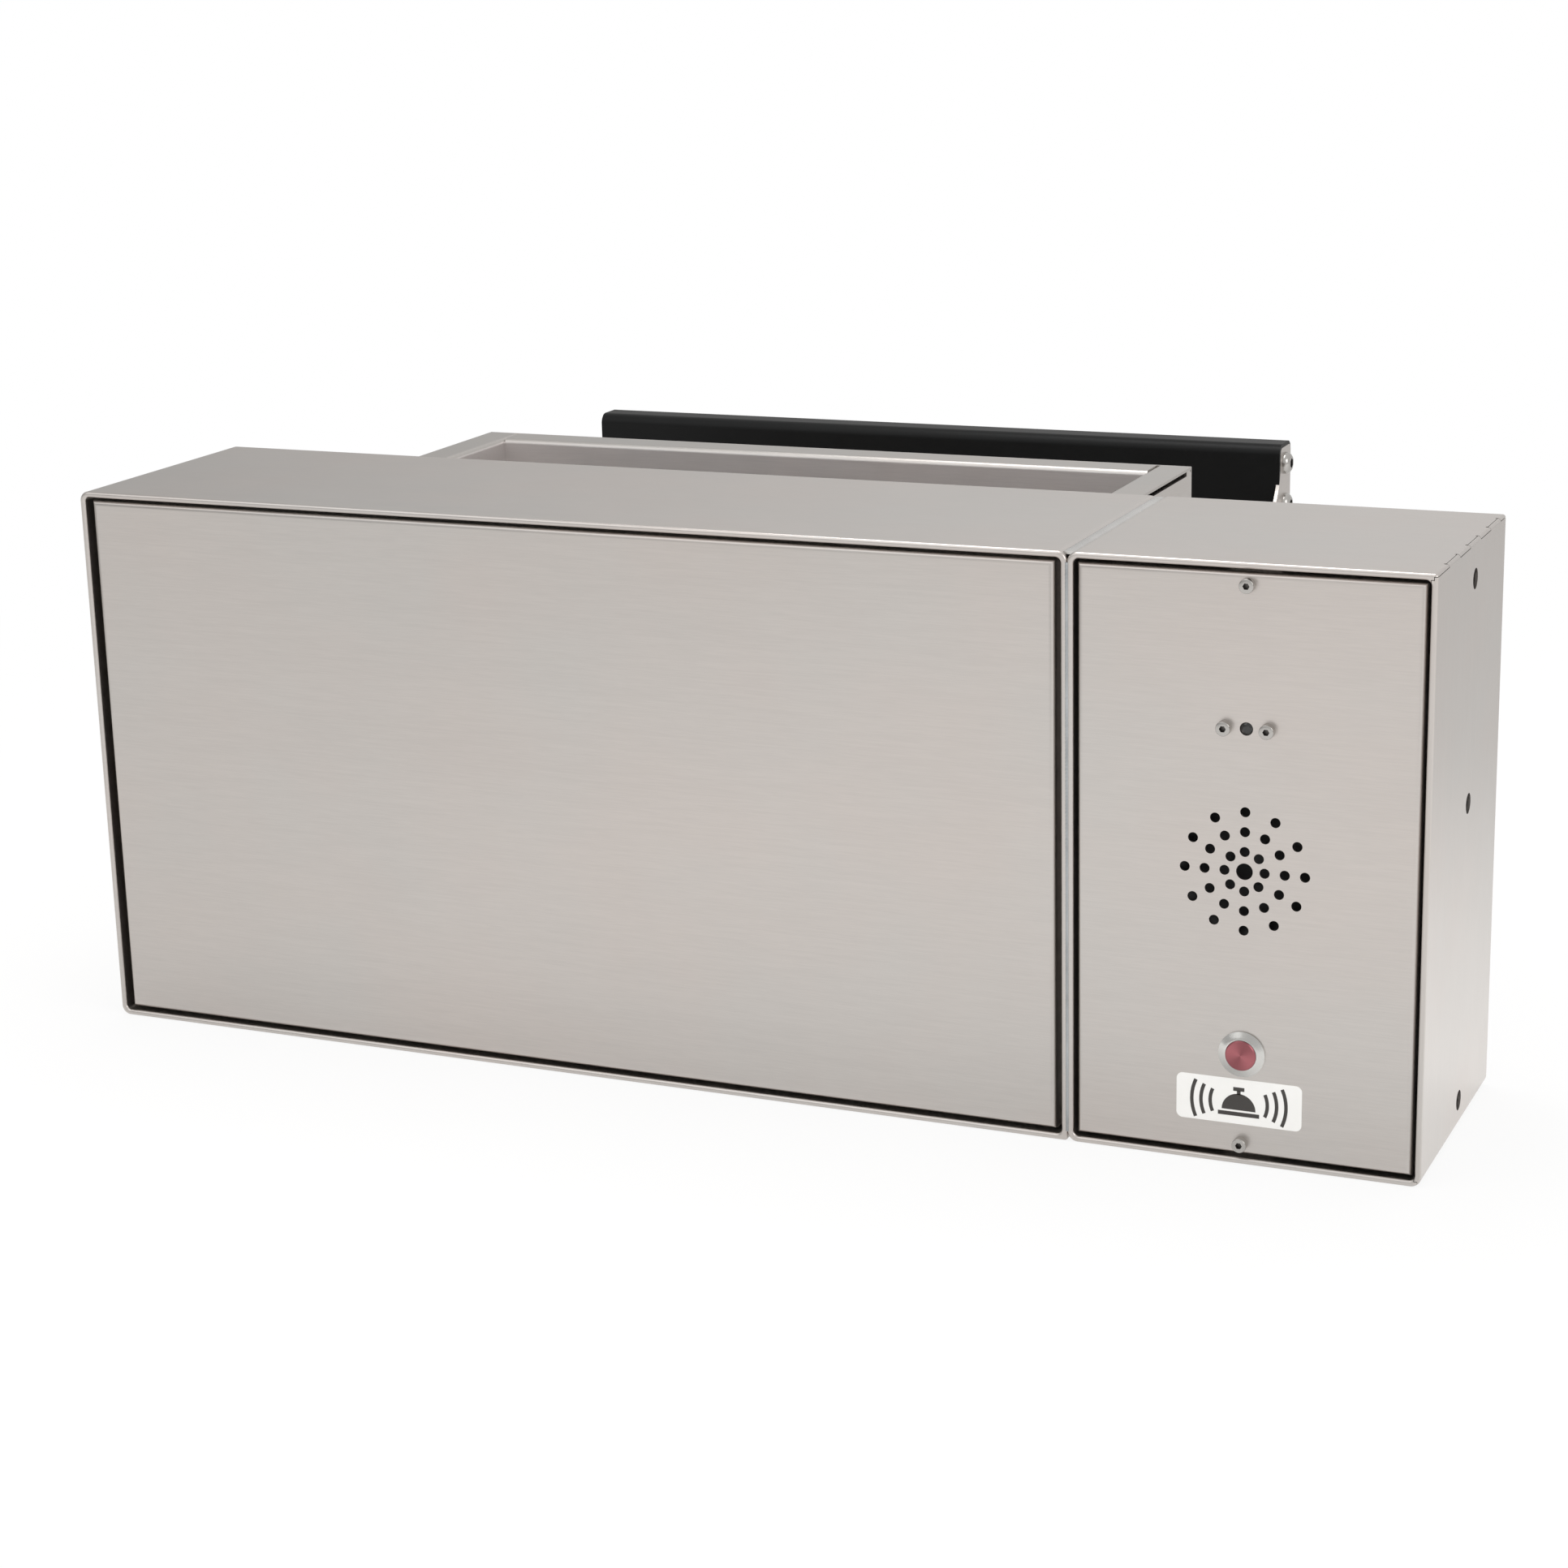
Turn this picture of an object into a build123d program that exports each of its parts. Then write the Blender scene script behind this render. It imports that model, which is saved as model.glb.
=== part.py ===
"""Deposit drawer for a service window, with an intercom box welded to its hood.

Millimetres, +Z up. The customer stands on the -Y side and the teller on the +Y side.
The origin is the middle of the hood's underside, where it stands on the sill of the wall opening.
"""

import os
from math import cos, pi, radians, sin

from build123d import *

# ---------------------------------------------------------------- driving dimensions

# hood and intercom box
hood_width = 545.0
intercom_width = 172.0
hood_height = 290.0
hood_depth = 144.0
sheet = 1.5
hem_length = 12.0
hem_fillet_share = 0.95
corner_radius = 5.0
mitre_radius = 1.6
finger_count = 3
weld_gap = 0.3
relief_radius = 0.9
bead_sink = 0.5

# holes through the jamb sides
jamb_hole_radius = 5.0
jamb_hole_y = 7.0
jamb_low_z = 15.0
jamb_middle_z = 164.0
jamb_high_drop = 18.0

# drawer panel
drawer_recess = 1.4
drawer_side_gap = 3.3
drawer_end_gap = 1.6
drawer_panel_depth = 16.6
panel_bend = 3.0

# stop frame and its seal behind the panel
seal_clearance = 0.3
seal_thickness = 4.0
seal_width = 7.5
frame_flange = 13.0

# tray
tray_side_space = 48.5
tray_overhang = 217.0
tray_rim_drop = 25.0
tray_floor_z = 40.0
rim_width = 20.0
rim_bend = 3.0
side_slot = 2.5
side_slot_end = 8.0
skin_relief_radius = 1.35
rear_finger_count = 15

# arms that carry the handle bar
arm_gap = 4.7
arm_sheet = 2.0
limb_height = 60.0
limb_z = 110.0
limb_end_radius = 12.0
limb_bend_radius = 20.0
arm_top_drop = 2.4
arm_front_lip = 2.4
arm_waist_drop = 22.0
arm_waist_radius = 24.0
arm_slope = 54.0
arm_screw_drop = 22.0
arm_screw_spacing = 140.0
arm_screw_inset = 32.0
arm_screw_rows = 3
spacer_radius = 4.4

# handle bar
bar_reach = 163.3
bar_depth = 25.4
bar_height = 50.8
bar_top_drop = 40.0
bar_radius = 6.3
bar_arm_fit = 0.2
bar_screw_spacing = 25.4
bar_screw_length = 22.0
bar_screw_end_gap = 1.0
bar_screw_radius = 4.0
bar_screw_head_radius = 6.75
bar_screw_head_height = 4.2
bar_screw_dome = 3.4

# rails, rollers and their brackets
rail_web = 2.0
rail_depth = 16.0
roller_radius = 12.0
roller_width = 10.0
roller_edge = 1.2
roller_play = 0.3
axle_radius = 4.0
axle_fit = 0.05
axle_head = 1.6
axle_head_radius = 7.0
axle_shoulder_radius = 6.0
axle_rivet_radius = 5.6
axle_rivet_height = 1.6
axle_web_gap = 0.5
roller_side_gap = 0.1
bracket_clearance = 3.3
bracket_sheet = 2.0
bracket_foot = 14.0
bracket_front_gap = 0.5
bracket_length = 118.0
bracket_screw_inset = 17.7
front_roller_inset = 14.0
roller_spacing = 78.0
bumper_radius = 6.0
bumper_edge = 1.0
bumper_web_gap = 3.0
bumper_stud_end = 2.0
stroke = 300.0
stop_thickness = 4.0

# turn latch on the teller's side
latch_drop = 70.0
latch_inset = 13.0
latch_sheet = 2.0
latch_plate_height = 50.0
latch_plate_inset = 12.0
latch_plate_leg = 26.0
latch_plate_margin = 4.0
latch_shaft_radius = 3.0
latch_shaft_end = 15.0
latch_clip_lip = 1.5
latch_clip_thickness = 1.2
latch_bush_radius = 6.0
latch_bush_end = 10.0
latch_collar_lip = 2.0
latch_collar_height = 2.0
latch_nut_lip = 3.0
latch_nut_height = 4.0
cam_clearance = 0.3
cam_length = 24.0
cam_width = 12.0
cam_sheet = 3.0
cam_hub_radius = 7.0
knob_radius = 8.0
knob_height = 12.0
knob_wing_length = 22.0
knob_wing_width = 7.0
knob_wing_start = 6.0
knob_wing_height = 16.0
knob_edge = 1.2
strike_sheet = 2.0
strike_reach = 22.0
strike_leg = 26.0
strike_height = 30.0
strike_gap = 0.7

# intercom panel
intercom_recess = 1.0
intercom_gap = 1.6
intercom_panel_depth = 13.0
panel_screw_inset = 10.3
panel_screw_end = 4.0
label_width = 60.7
label_height = 22.5
label_z = 31.2
label_shift = 1.2
label_thickness = 0.3
label_radius = 3.0

# lugs that hold the intercom panel and the rear cover
lug_half_width = 12.0
lug_height = 16.0
lug_leg = 18.0
corner_lug_size = 18.0
corner_lug_leg = 20.0
corner_screw_inset = 10.0

# speaker
speaker_camera_space = 68.1
speaker_pitch = 9.525
speaker_hole_radius = 2.4
speaker_centre_radius = 3.97
speaker_rings = (8, 12, 12)
speaker_size = 80.0
speaker_corner = 6.0
gasket_thickness = 2.0
gasket_radius = 38.5
speaker_flange = 2.0
cone_radius = 33.0
cone_edge = 1.5
cone_thickness = 1.0
cone_depth = 12.5
coil_radius = 10.0
dome_rise = 2.0
basket_radius = 37.0
basket_end_radius = 26.0
basket_depth = 19.5
basket_sheet = 1.5
magnet_radius = 24.0
magnet_depth = 10.0
magnet_cap_radius = 22.0
magnet_cap_depth = 2.0
stud_offset = 34.0
stud_length = 12.0
stud_nut_radius = 4.0
stud_nut_height = 3.2

# camera
camera_drop = 77.4
camera_hole_radius = 3.15
camera_screw_offset = 10.2
camera_screw_length = 8.0
camera_body_width = 32.0
camera_body_height = 20.0
camera_body_depth = 18.0
camera_body_corner = 2.0
lens_fit = 0.15
lens_land = 0.6
lens_rise = 1.3

# call button
button_z = 55.1
button_hole_radius = 9.5
barrel_fit = 0.1
barrel_length = 20.0
barrel_floor = 2.0
plunger_hole_radius = 4.0
bezel_radius = 11.2
bezel_edge = 0.8
bezel_height = 2.4
bezel_land = 0.6
cap_radius = 7.4
cap_fit = 0.1
cap_edge = 0.5
cap_proud = 0.8
cap_depth = 7.2
plunger_radius = 3.0
plunger_end_gap = 1.0
spring_radius = 5.2
spring_wire = 0.4
spring_end_gap = 0.02
spring_turns = 4.5
button_nut_radius = 13.0
button_nut_height = 4.0
switch_size = 18.0
switch_depth = 14.0
switch_corner = 1.0
terminal_offset = 4.0
terminal_length = 6.0
terminal_width = 5.0
terminal_sheet = 0.8

# intercom board on the inner wall
board_sheet = 1.6
board_depth = 90.0
board_height = 90.0
board_front_space = 32.0
board_top_space = 20.0
board_hole_inset = 6.0
standoff_length = 8.0
standoff_radius = 3.2
chip_height = 4.0
capacitor_radius = 4.0
capacitor_height = 10.0

# rear cover of the intercom box and its cable hole
cover_gap = 0.3
cover_screw_length = 6.0
cable_z = 60.0
cable_hole_radius = 8.0
grommet_bore_radius = 5.0
grommet_lip_radius = 12.0
grommet_crown_radius = 10.5
grommet_lip = 2.0

# fixings
m4_radius = 2.0
m4_head_radius = 3.5
m4_head_height = 4.0
m4_head_edge = 0.5
button_head_height = 2.2
button_head_dome = 1.5
arm_screw_head_radius = 4.3
arm_screw_head_height = 2.4
arm_screw_dome = 1.6
hex_share = 0.45
hex_depth_share = 0.6

# ---------------------------------------------------------------- derived places

total_width = hood_width + intercom_width
left_x = -total_width / 2
right_x = total_width / 2
seam_x = left_x + hood_width
front_y = -hood_depth / 2
rear_y = hood_depth / 2
hem_y = front_y + hem_length
drawer_x = left_x + hood_width / 2
drawer_middle = Plane.YZ.offset(drawer_x)
jamb_hole_heights = (jamb_low_z, jamb_middle_z, hood_height - jamb_high_drop)
frame_corner = corner_radius - sheet

panel_front_y = front_y + drawer_recess
panel_back_y = panel_front_y + drawer_panel_depth
panel_half = hood_width / 2 - 2 * sheet - drawer_side_gap
panel_low_z = 2 * sheet + drawer_end_gap
panel_high_z = hood_height - panel_low_z
seal_front_y = panel_back_y + seal_clearance
frame_y = seal_front_y + seal_thickness - seal_clearance
hood_inner_half = hood_width / 2 - sheet

tray_half = hood_width / 2 - tray_side_space
well_half = tray_half - rim_width
tray_front_y = panel_back_y
tray_rear_y = rear_y + tray_overhang
tray_rim_z = hood_height - tray_rim_drop
well_front_y = tray_front_y + rim_width
well_rear_y = tray_rear_y - rim_width

arm_inner = tray_half + arm_gap
arm_outer = arm_inner + arm_sheet
bar_front_y = tray_rear_y + bar_reach
bar_rear_y = bar_front_y + bar_depth
bar_top_z = hood_height - bar_top_drop
bar_low_z = bar_top_z - bar_height
bar_middle_z = (bar_top_z + bar_low_z) / 2
arm_front_y = bar_front_y + arm_front_lip
arm_waist_z = bar_top_z - arm_waist_drop
limb_low_z = limb_z - limb_height / 2
limb_high_z = limb_z + limb_height / 2
slope_run = (arm_waist_z - limb_high_z) * cos(radians(arm_slope)) / sin(radians(arm_slope))

rail_inner_half = roller_radius + roller_play
rail_half = rail_inner_half + rail_web
rail_web_face = arm_outer + rail_web
rail_edge = arm_outer + rail_depth
axle_head_x = rail_web_face + axle_web_gap
roller_x = axle_head_x + axle_head + roller_side_gap
bracket_x = rail_edge + bracket_clearance
bracket_front_y = frame_y + sheet + bracket_front_gap
bracket_rear_y = bracket_front_y + bracket_length
roller_ys = (bracket_front_y + front_roller_inset, bracket_front_y + front_roller_inset + roller_spacing)
bumper_y = bracket_rear_y - bumper_radius
stop_y = bracket_rear_y + seal_clearance + stroke
rail_rear_y = stop_y + stop_thickness

latch_x = drawer_x + hood_inner_half - latch_inset
latch_z = hood_height - latch_drop
latch_plate_y = rear_y - latch_plate_inset
bush_face_y = latch_plate_y + 2 * latch_collar_height
cam_y = bush_face_y + cam_clearance
strike_y = cam_y + cam_sheet + strike_gap

intercom_x = (seam_x + right_x) / 2
intercom_panel_y = front_y + intercom_recess
intercom_skin_y = intercom_panel_y + sheet
intercom_back_y = intercom_panel_y + intercom_panel_depth
intercom_half = intercom_width / 2 - 2 * sheet - intercom_gap
intercom_low_z = 2 * sheet + intercom_gap
intercom_high_z = hood_height - intercom_low_z
panel_screw_heights = (panel_screw_inset, hood_height - panel_screw_inset)
camera_z = hood_height - camera_drop
speaker_z = camera_z - speaker_camera_space


# ---------------------------------------------------------------- drawing helpers


def facing(y):
    """Plane across the slide, whose sketches rise towards the customer."""
    return Plane.XZ.offset(-y)


def across(x):
    """Plane along the slide at x, whose sketches rise towards +X."""
    return Plane.YZ.offset(x)


def limits(x0, x1, y0, y1, mode=Mode.ADD):
    """Rectangle between its limits in the open sketch."""
    with Locations(((x0 + x1) / 2, (y0 + y1) / 2)):
        Rectangle(x1 - x0, y1 - y0, mode=mode)


def rounded(x0, x1, y0, y1, radii):
    """Rectangle whose corners are rounded in turn: low left, low right, high right, high left."""
    corners = ((x0, y0), (x1, y0), (x1, y1), (x0, y1))
    with BuildSketch() as profile:
        limits(x0, x1, y0, y1)
        for corner, radius in zip(corners, radii):
            nearest = profile.vertices().sort_by_distance((corner[0], corner[1], 0))[0]
            fillet(nearest, radius)
    return profile.sketch


def finish(name, part):
    """Label a finished piece and write it under that name."""
    part.label = name
    export_step(part, f"parts/{name}.step")


def rim_edges(builder, plane):
    """Edges of the part being built that lie in a plane."""
    return builder.edges().filter_by(lambda edge: abs(plane.to_local_coords(edge.center()).Z) < 0.01)


def screws(plane, points, length, shank_radius, head_radius, head_height, dome):
    """Socket screws whose heads stand on a plane and whose shanks go down through it."""
    with BuildPart() as group:
        with BuildSketch(plane):
            with Locations(*points):
                Circle(head_radius)
        extrude(amount=head_height)
        fillet(rim_edges(group, plane.offset(head_height)), dome)
        with BuildSketch(plane.offset(head_height)):
            with Locations(*points):
                RegularPolygon(head_radius * hex_share, 6)
        extrude(amount=-head_height * hex_depth_share, mode=Mode.SUBTRACT)
        with BuildSketch(plane):
            with Locations(*points):
                Circle(shank_radius)
        extrude(amount=-length)
    return group.part


def hemmed_sleeve(x0, x1, radii):
    """Sheet sleeve over the full height, open front and rear, its front edge folded back in a hem."""
    bend = corner_radius - sheet
    inner = (bend, bend, bend, bend)
    hem_bend = bend - sheet / 2
    hem_inner = (hem_bend, hem_bend, hem_bend, hem_bend)
    with BuildPart() as sleeve:
        with BuildSketch(facing(rear_y)):
            add(rounded(x0, x1, 0, hood_height, radii))
            add(rounded(x0 + sheet, x1 - sheet, sheet, hood_height - sheet, inner), mode=Mode.SUBTRACT)
        extrude(amount=hood_depth)
        with BuildSketch(facing(hem_y)):
            add(rounded(x0 + sheet, x1 - sheet, sheet, hood_height - sheet, inner))
            add(
                rounded(x0 + 2 * sheet, x1 - 2 * sheet, 2 * sheet, hood_height - 2 * sheet, hem_inner),
                mode=Mode.SUBTRACT,
            )
        extrude(amount=hem_length)
        fillet(rim_edges(sleeve, facing(front_y)), sheet * hem_fillet_share)
    return sleeve.part


def finger_spans(low, high, count):
    """Middles and width of evenly spaced joint fingers, with half a gap at each end."""
    pitch = (high - low) / count
    return [low + pitch * (n + 0.5) for n in range(count)], pitch / 2


cut_end = 1.0
os.makedirs("parts", exist_ok=True)


# ---------------------------------------------------------------- hood over the drawer

with BuildPart() as hood_shell:
    add(hemmed_sleeve(left_x, seam_x, (corner_radius, mitre_radius, corner_radius, corner_radius)))
    with BuildSketch(across(left_x)):
        with Locations(*[(jamb_hole_y, z) for z in jamb_hole_heights]):
            Circle(jamb_hole_radius)
    extrude(amount=sheet, mode=Mode.SUBTRACT)
finish("hood_shell", hood_shell.part)

# ---------------------------------------------------------------- intercom box and its side plate


def side_region(gap):
    """Space of the box's right side plate, with its fingers through the top and the bottom."""
    middles, width = finger_spans(hem_y, rear_y, finger_count)
    plate_x = right_x - sheet - gap
    with BuildPart() as region:
        with BuildSketch(facing(rear_y + cut_end)):
            limits(plate_x, right_x + cut_end, sheet - gap, hood_height - sheet + gap)
            limits(right_x - 2 * sheet - gap, plate_x, 2 * sheet - gap, hood_height - 2 * sheet + gap)
        extrude(amount=hood_depth + 2 * cut_end)
        with BuildSketch(Plane.XY.offset(-cut_end)):
            for middle in middles:
                limits(plate_x, right_x + cut_end, middle - width / 2 - gap, middle + width / 2 + gap)
            if gap:
                ends = [(plate_x, middle + end * width / 2) for middle in middles for end in (-1, 1)]
                with Locations(*ends):
                    Circle(relief_radius)
        extrude(amount=hood_height + 2 * cut_end)
    return region.part


intercom_sleeve = hemmed_sleeve(seam_x, right_x, (corner_radius, corner_radius, mitre_radius, corner_radius))

with BuildPart() as intercom_shell:
    add(intercom_sleeve)
    add(side_region(weld_gap), mode=Mode.SUBTRACT)
finish("intercom_shell", intercom_shell.part)

with BuildPart() as intercom_side:
    add(intercom_sleeve)
    add(side_region(0), mode=Mode.INTERSECT)
    with BuildSketch(across(right_x)):
        with Locations(*[(jamb_hole_y, z) for z in jamb_hole_heights]):
            Circle(jamb_hole_radius)
    extrude(amount=-sheet, mode=Mode.SUBTRACT)
finish("intercom_side", intercom_side.part)


def groove_bead(plane, bend, low, high, bead_drop, length):
    """Weld bead in the groove where two bends meet; x = 0 is the seam and high is the surface."""
    with BuildPart() as bead:
        with BuildSketch(plane):
            limits(-bend, bend, low, high - bead_drop)
            with Locations(*[(side * bend, high - bend) for side in (-1, 1)]):
                Circle(bend, mode=Mode.SUBTRACT)
        extrude(amount=length)
    return bead.part


hem_fillet = sheet * hem_fillet_share

with BuildPart() as seam_welds:
    top_plane = Plane(origin=(seam_x, rear_y - sheet, 0), x_dir=(1, 0, 0), z_dir=(0, -1, 0))
    bead_low = hood_height - corner_radius
    add(groove_bead(top_plane, corner_radius, bead_low, hood_height, bead_sink, hood_depth - 2 * sheet))
    front_plane = Plane(origin=(seam_x, 0, corner_radius), x_dir=(-1, 0, 0), z_dir=(0, 0, 1))
    bead_low = -front_y - hem_fillet
    add(groove_bead(front_plane, hem_fillet, bead_low, -front_y, bead_sink, hood_height - 2 * corner_radius))
finish("seam_welds", seam_welds.part)

# ---------------------------------------------------------------- stop frame and weather seal


def hood_ring(y, depth, outer_inset, inner_inset):
    """Rectangular ring inside the hood, its edges inset from the hood's inner faces."""
    with BuildPart() as ring:
        with BuildSketch(facing(y + depth)):
            for inset, mode in ((outer_inset, Mode.ADD), (inner_inset, Mode.SUBTRACT)):
                half = hood_inner_half - inset
                limits(drawer_x - half, drawer_x + half, sheet + inset, hood_height - sheet - inset, mode)
        extrude(amount=depth)
    return ring.part


with BuildPart() as stop_frame:
    add(hood_ring(frame_y, sheet, 0, frame_flange))
    add(hood_ring(hem_y, frame_y - hem_y, 0, sheet))
    full_length = frame_y - hem_y + sheet / 2
    corner_edges = stop_frame.edges().filter_by(Axis.Y).filter_by(lambda edge: edge.length > full_length)
    fillet(corner_edges, frame_corner)
finish("stop_frame", stop_frame.part)

seal_inset = frame_flange - seal_width - sheet
with BuildPart() as weather_seal:
    add(hood_ring(seal_front_y, frame_y - seal_front_y, seal_inset, seal_inset + seal_width))
finish("weather_seal", weather_seal.part)

# ---------------------------------------------------------------- roller brackets


def hat_section(x_inner, x_wall, middle_z, half):
    """Hat profile that stands off a wall: web, two legs and two feet, for the drawer's right side."""
    limits(x_inner, x_inner + bracket_sheet, middle_z - half, middle_z + half)
    for side in (-1, 1):
        edge = middle_z + side * half
        inner = edge - side * bracket_sheet
        tip = edge + side * bracket_foot
        limits(x_inner, x_wall, min(edge, inner), max(edge, inner))
        limits(x_wall - bracket_sheet, x_wall, min(edge, tip), max(edge, tip))


bracket_wall_x = drawer_x + hood_inner_half
roller_points = [(y, limb_z) for y in roller_ys]
bumper_point = (bumper_y, limb_z)
bracket_foot_z = limb_height / 2 + bracket_foot / 2
bracket_screw_points = [
    (y, limb_z + side * bracket_foot_z)
    for y in (bracket_front_y + bracket_screw_inset, bracket_rear_y - bracket_screw_inset)
    for side in (-1, 1)
]

with BuildPart() as roller_bracket_right:
    with BuildSketch(facing(bracket_rear_y)):
        hat_section(drawer_x + bracket_x, bracket_wall_x, limb_z, limb_height / 2)
    extrude(amount=bracket_length)
    with BuildSketch(across(drawer_x + bracket_x)):
        with Locations(*roller_points):
            Circle(axle_radius)
        with Locations(bumper_point):
            Circle(m4_radius)
    extrude(amount=bracket_sheet, mode=Mode.SUBTRACT)
    with BuildSketch(across(bracket_wall_x)):
        with Locations(*bracket_screw_points):
            Circle(m4_radius)
    extrude(amount=-bracket_sheet, mode=Mode.SUBTRACT)
finish("roller_bracket_right", roller_bracket_right.part)

with BuildPart() as roller_bracket_left:
    mirror(roller_bracket_right.part, about=drawer_middle)
finish("roller_bracket_left", roller_bracket_left.part)

with BuildPart() as bracket_screws:
    foot_face = Plane(
        origin=(bracket_wall_x - bracket_sheet, 0, 0), x_dir=(0, -1, 0), z_dir=(-1, 0, 0)
    )
    turned_points = [(-y, z) for y, z in bracket_screw_points]
    add(
        screws(
            foot_face,
            turned_points,
            bracket_sheet,
            m4_radius,
            m4_head_radius,
            button_head_height,
            button_head_dome,
        )
    )
    mirror(bracket_screws.part, about=drawer_middle)
finish("bracket_screws", bracket_screws.part)

with BuildPart() as roller_axles:
    with BuildSketch(across(drawer_x + axle_head_x)):
        with Locations(*roller_points):
            Circle(axle_head_radius)
    extrude(amount=axle_head)
    with BuildSketch(across(drawer_x + axle_head_x)):
        with Locations(*roller_points):
            Circle(axle_radius)
    extrude(amount=bracket_x + bracket_sheet + axle_rivet_height - axle_head_x)
    with BuildSketch(across(drawer_x + roller_x + roller_width + roller_side_gap)):
        with Locations(*roller_points):
            Circle(axle_shoulder_radius)
    extrude(amount=bracket_x - roller_x - roller_width - roller_side_gap)
    with BuildSketch(across(drawer_x + bracket_x + bracket_sheet)):
        with Locations(*roller_points):
            Circle(axle_rivet_radius)
    extrude(amount=axle_rivet_height)
    mirror(roller_axles.part, about=drawer_middle)
finish("roller_axles", roller_axles.part)

for depth_name, roller_y in zip(("front", "rear"), roller_ys):
    with BuildPart() as roller_right:
        with BuildSketch(across(drawer_x + roller_x)):
            with Locations((roller_y, limb_z)):
                Circle(roller_radius)
        extrude(amount=roller_width)
        fillet(roller_right.edges().filter_by(GeomType.CIRCLE), roller_edge)
        with BuildSketch(across(drawer_x + roller_x)):
            with Locations((roller_y, limb_z)):
                Circle(axle_radius + axle_fit)
        extrude(amount=roller_width, mode=Mode.SUBTRACT)
    finish(f"roller_right_{depth_name}", roller_right.part)
    with BuildPart() as roller_left:
        mirror(roller_right.part, about=drawer_middle)
    finish(f"roller_left_{depth_name}", roller_left.part)

with BuildPart() as travel_bumpers:
    bumper_inner_x = rail_web_face + bumper_web_gap
    with BuildSketch(across(drawer_x + bumper_inner_x)):
        with Locations(bumper_point):
            Circle(bumper_radius)
    extrude(amount=bracket_x - bumper_inner_x)
    fillet(travel_bumpers.edges().sort_by(Axis.X)[0], bumper_edge)
    with BuildSketch(across(drawer_x + bracket_x)):
        with Locations(bumper_point):
            Circle(m4_radius)
    extrude(amount=bracket_sheet + bumper_stud_end)
    mirror(travel_bumpers.part, about=drawer_middle)
finish("travel_bumpers", travel_bumpers.part)

# ---------------------------------------------------------------- turn latch

latch_wall_x = bracket_wall_x
latch_low_z = latch_z - latch_plate_height / 2
latch_high_z = latch_z + latch_plate_height / 2
latch_point = (latch_x, latch_z)

with BuildPart() as latch_plate:
    plate_inner_x = latch_x - latch_bush_radius - latch_plate_margin
    with BuildSketch(facing(latch_plate_y)):
        limits(plate_inner_x, latch_wall_x, latch_low_z, latch_high_z)
    extrude(amount=latch_sheet)
    inner_edges = latch_plate.edges().filter_by(Axis.Y).group_by(Axis.X)[0]
    fillet(inner_edges, latch_plate_margin)
    with BuildSketch(across(latch_wall_x)):
        limits(latch_plate_y - latch_plate_leg, latch_plate_y - latch_sheet, latch_low_z, latch_high_z)
    extrude(amount=-latch_sheet)
    with BuildSketch(facing(latch_plate_y)):
        with Locations(latch_point):
            Circle(latch_bush_radius)
    extrude(amount=latch_sheet, mode=Mode.SUBTRACT)
finish("latch_plate", latch_plate.part)

with BuildPart() as latch_bush:
    with BuildSketch(facing(bush_face_y)):
        with Locations(latch_point):
            Circle(latch_bush_radius)
    extrude(amount=bush_face_y - latch_plate_y + latch_bush_end)
    with BuildSketch(facing(latch_plate_y + latch_collar_height)):
        with Locations(latch_point):
            Circle(latch_bush_radius + latch_collar_lip)
    extrude(amount=latch_collar_height)
    with BuildSketch(facing(latch_plate_y - latch_sheet)):
        with Locations(latch_point):
            RegularPolygon(latch_bush_radius + latch_nut_lip, 6)
    extrude(amount=latch_nut_height)
    with BuildSketch(facing(bush_face_y)):
        with Locations(latch_point):
            Circle(latch_shaft_radius + axle_fit)
    extrude(amount=bush_face_y - latch_plate_y + latch_bush_end, mode=Mode.SUBTRACT)
finish("latch_bush", latch_bush.part)

with BuildPart() as latch_cam:
    with BuildSketch(facing(cam_y + cam_sheet)):
        with Locations(latch_point):
            Circle(cam_hub_radius)
        with Locations((latch_x, latch_z + cam_length / 2)):
            SlotCenterPoint((0, 0), (0, cam_length / 2 - cam_width / 2), cam_width)
            Rectangle(cam_width, cam_length - cam_width)
    extrude(amount=cam_sheet)
    with BuildSketch(facing(cam_y)):
        with Locations(latch_point):
            Circle(latch_shaft_radius)
    extrude(amount=latch_shaft_end + latch_clip_thickness)
    with BuildSketch(facing(cam_y - latch_shaft_end)):
        with Locations(latch_point):
            Circle(latch_shaft_radius + latch_clip_lip)
    extrude(amount=latch_clip_thickness)
finish("latch_cam", latch_cam.part)

with BuildPart() as latch_knob:
    with BuildSketch(facing(cam_y + cam_sheet + knob_height)):
        with Locations(latch_point):
            Circle(knob_radius)
    extrude(amount=knob_height)
    with BuildSketch(facing(cam_y + cam_sheet + knob_wing_start + knob_wing_height)):
        with Locations(latch_point):
            SlotOverall(knob_wing_length, knob_wing_width, rotation=90)
    extrude(amount=knob_wing_height)
    fillet(latch_knob.edges().sort_by(Axis.Y)[-2:], knob_edge)
finish("latch_knob", latch_knob.part)

# ---------------------------------------------------------------- drawer panel


def bent_block(middle_x, half, low_z, high_z, face_y, open_y, bend):
    """Block from an open end to a face whose edges are rounded by a bend."""
    with BuildPart() as block:
        with BuildSketch(facing(open_y)):
            limits(middle_x - half, middle_x + half, low_z, high_z)
        extrude(amount=open_y - face_y)
        fillet(rim_edges(block, facing(face_y)), bend)
    return block.part


def pan(middle_x, half, low_z, high_z, face_y, open_y):
    """Sheet pan: a face at one y and four returns, bent round its edges, that reach to the open end."""
    inward = sheet if open_y > face_y else -sheet
    with BuildPart() as shell:
        add(bent_block(middle_x, half, low_z, high_z, face_y, open_y, panel_bend))
        inner = bent_block(
            middle_x,
            half - sheet,
            low_z + sheet,
            high_z - sheet,
            face_y + inward,
            open_y,
            panel_bend - sheet,
        )
        add(inner, mode=Mode.SUBTRACT)
    return shell.part


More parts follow.
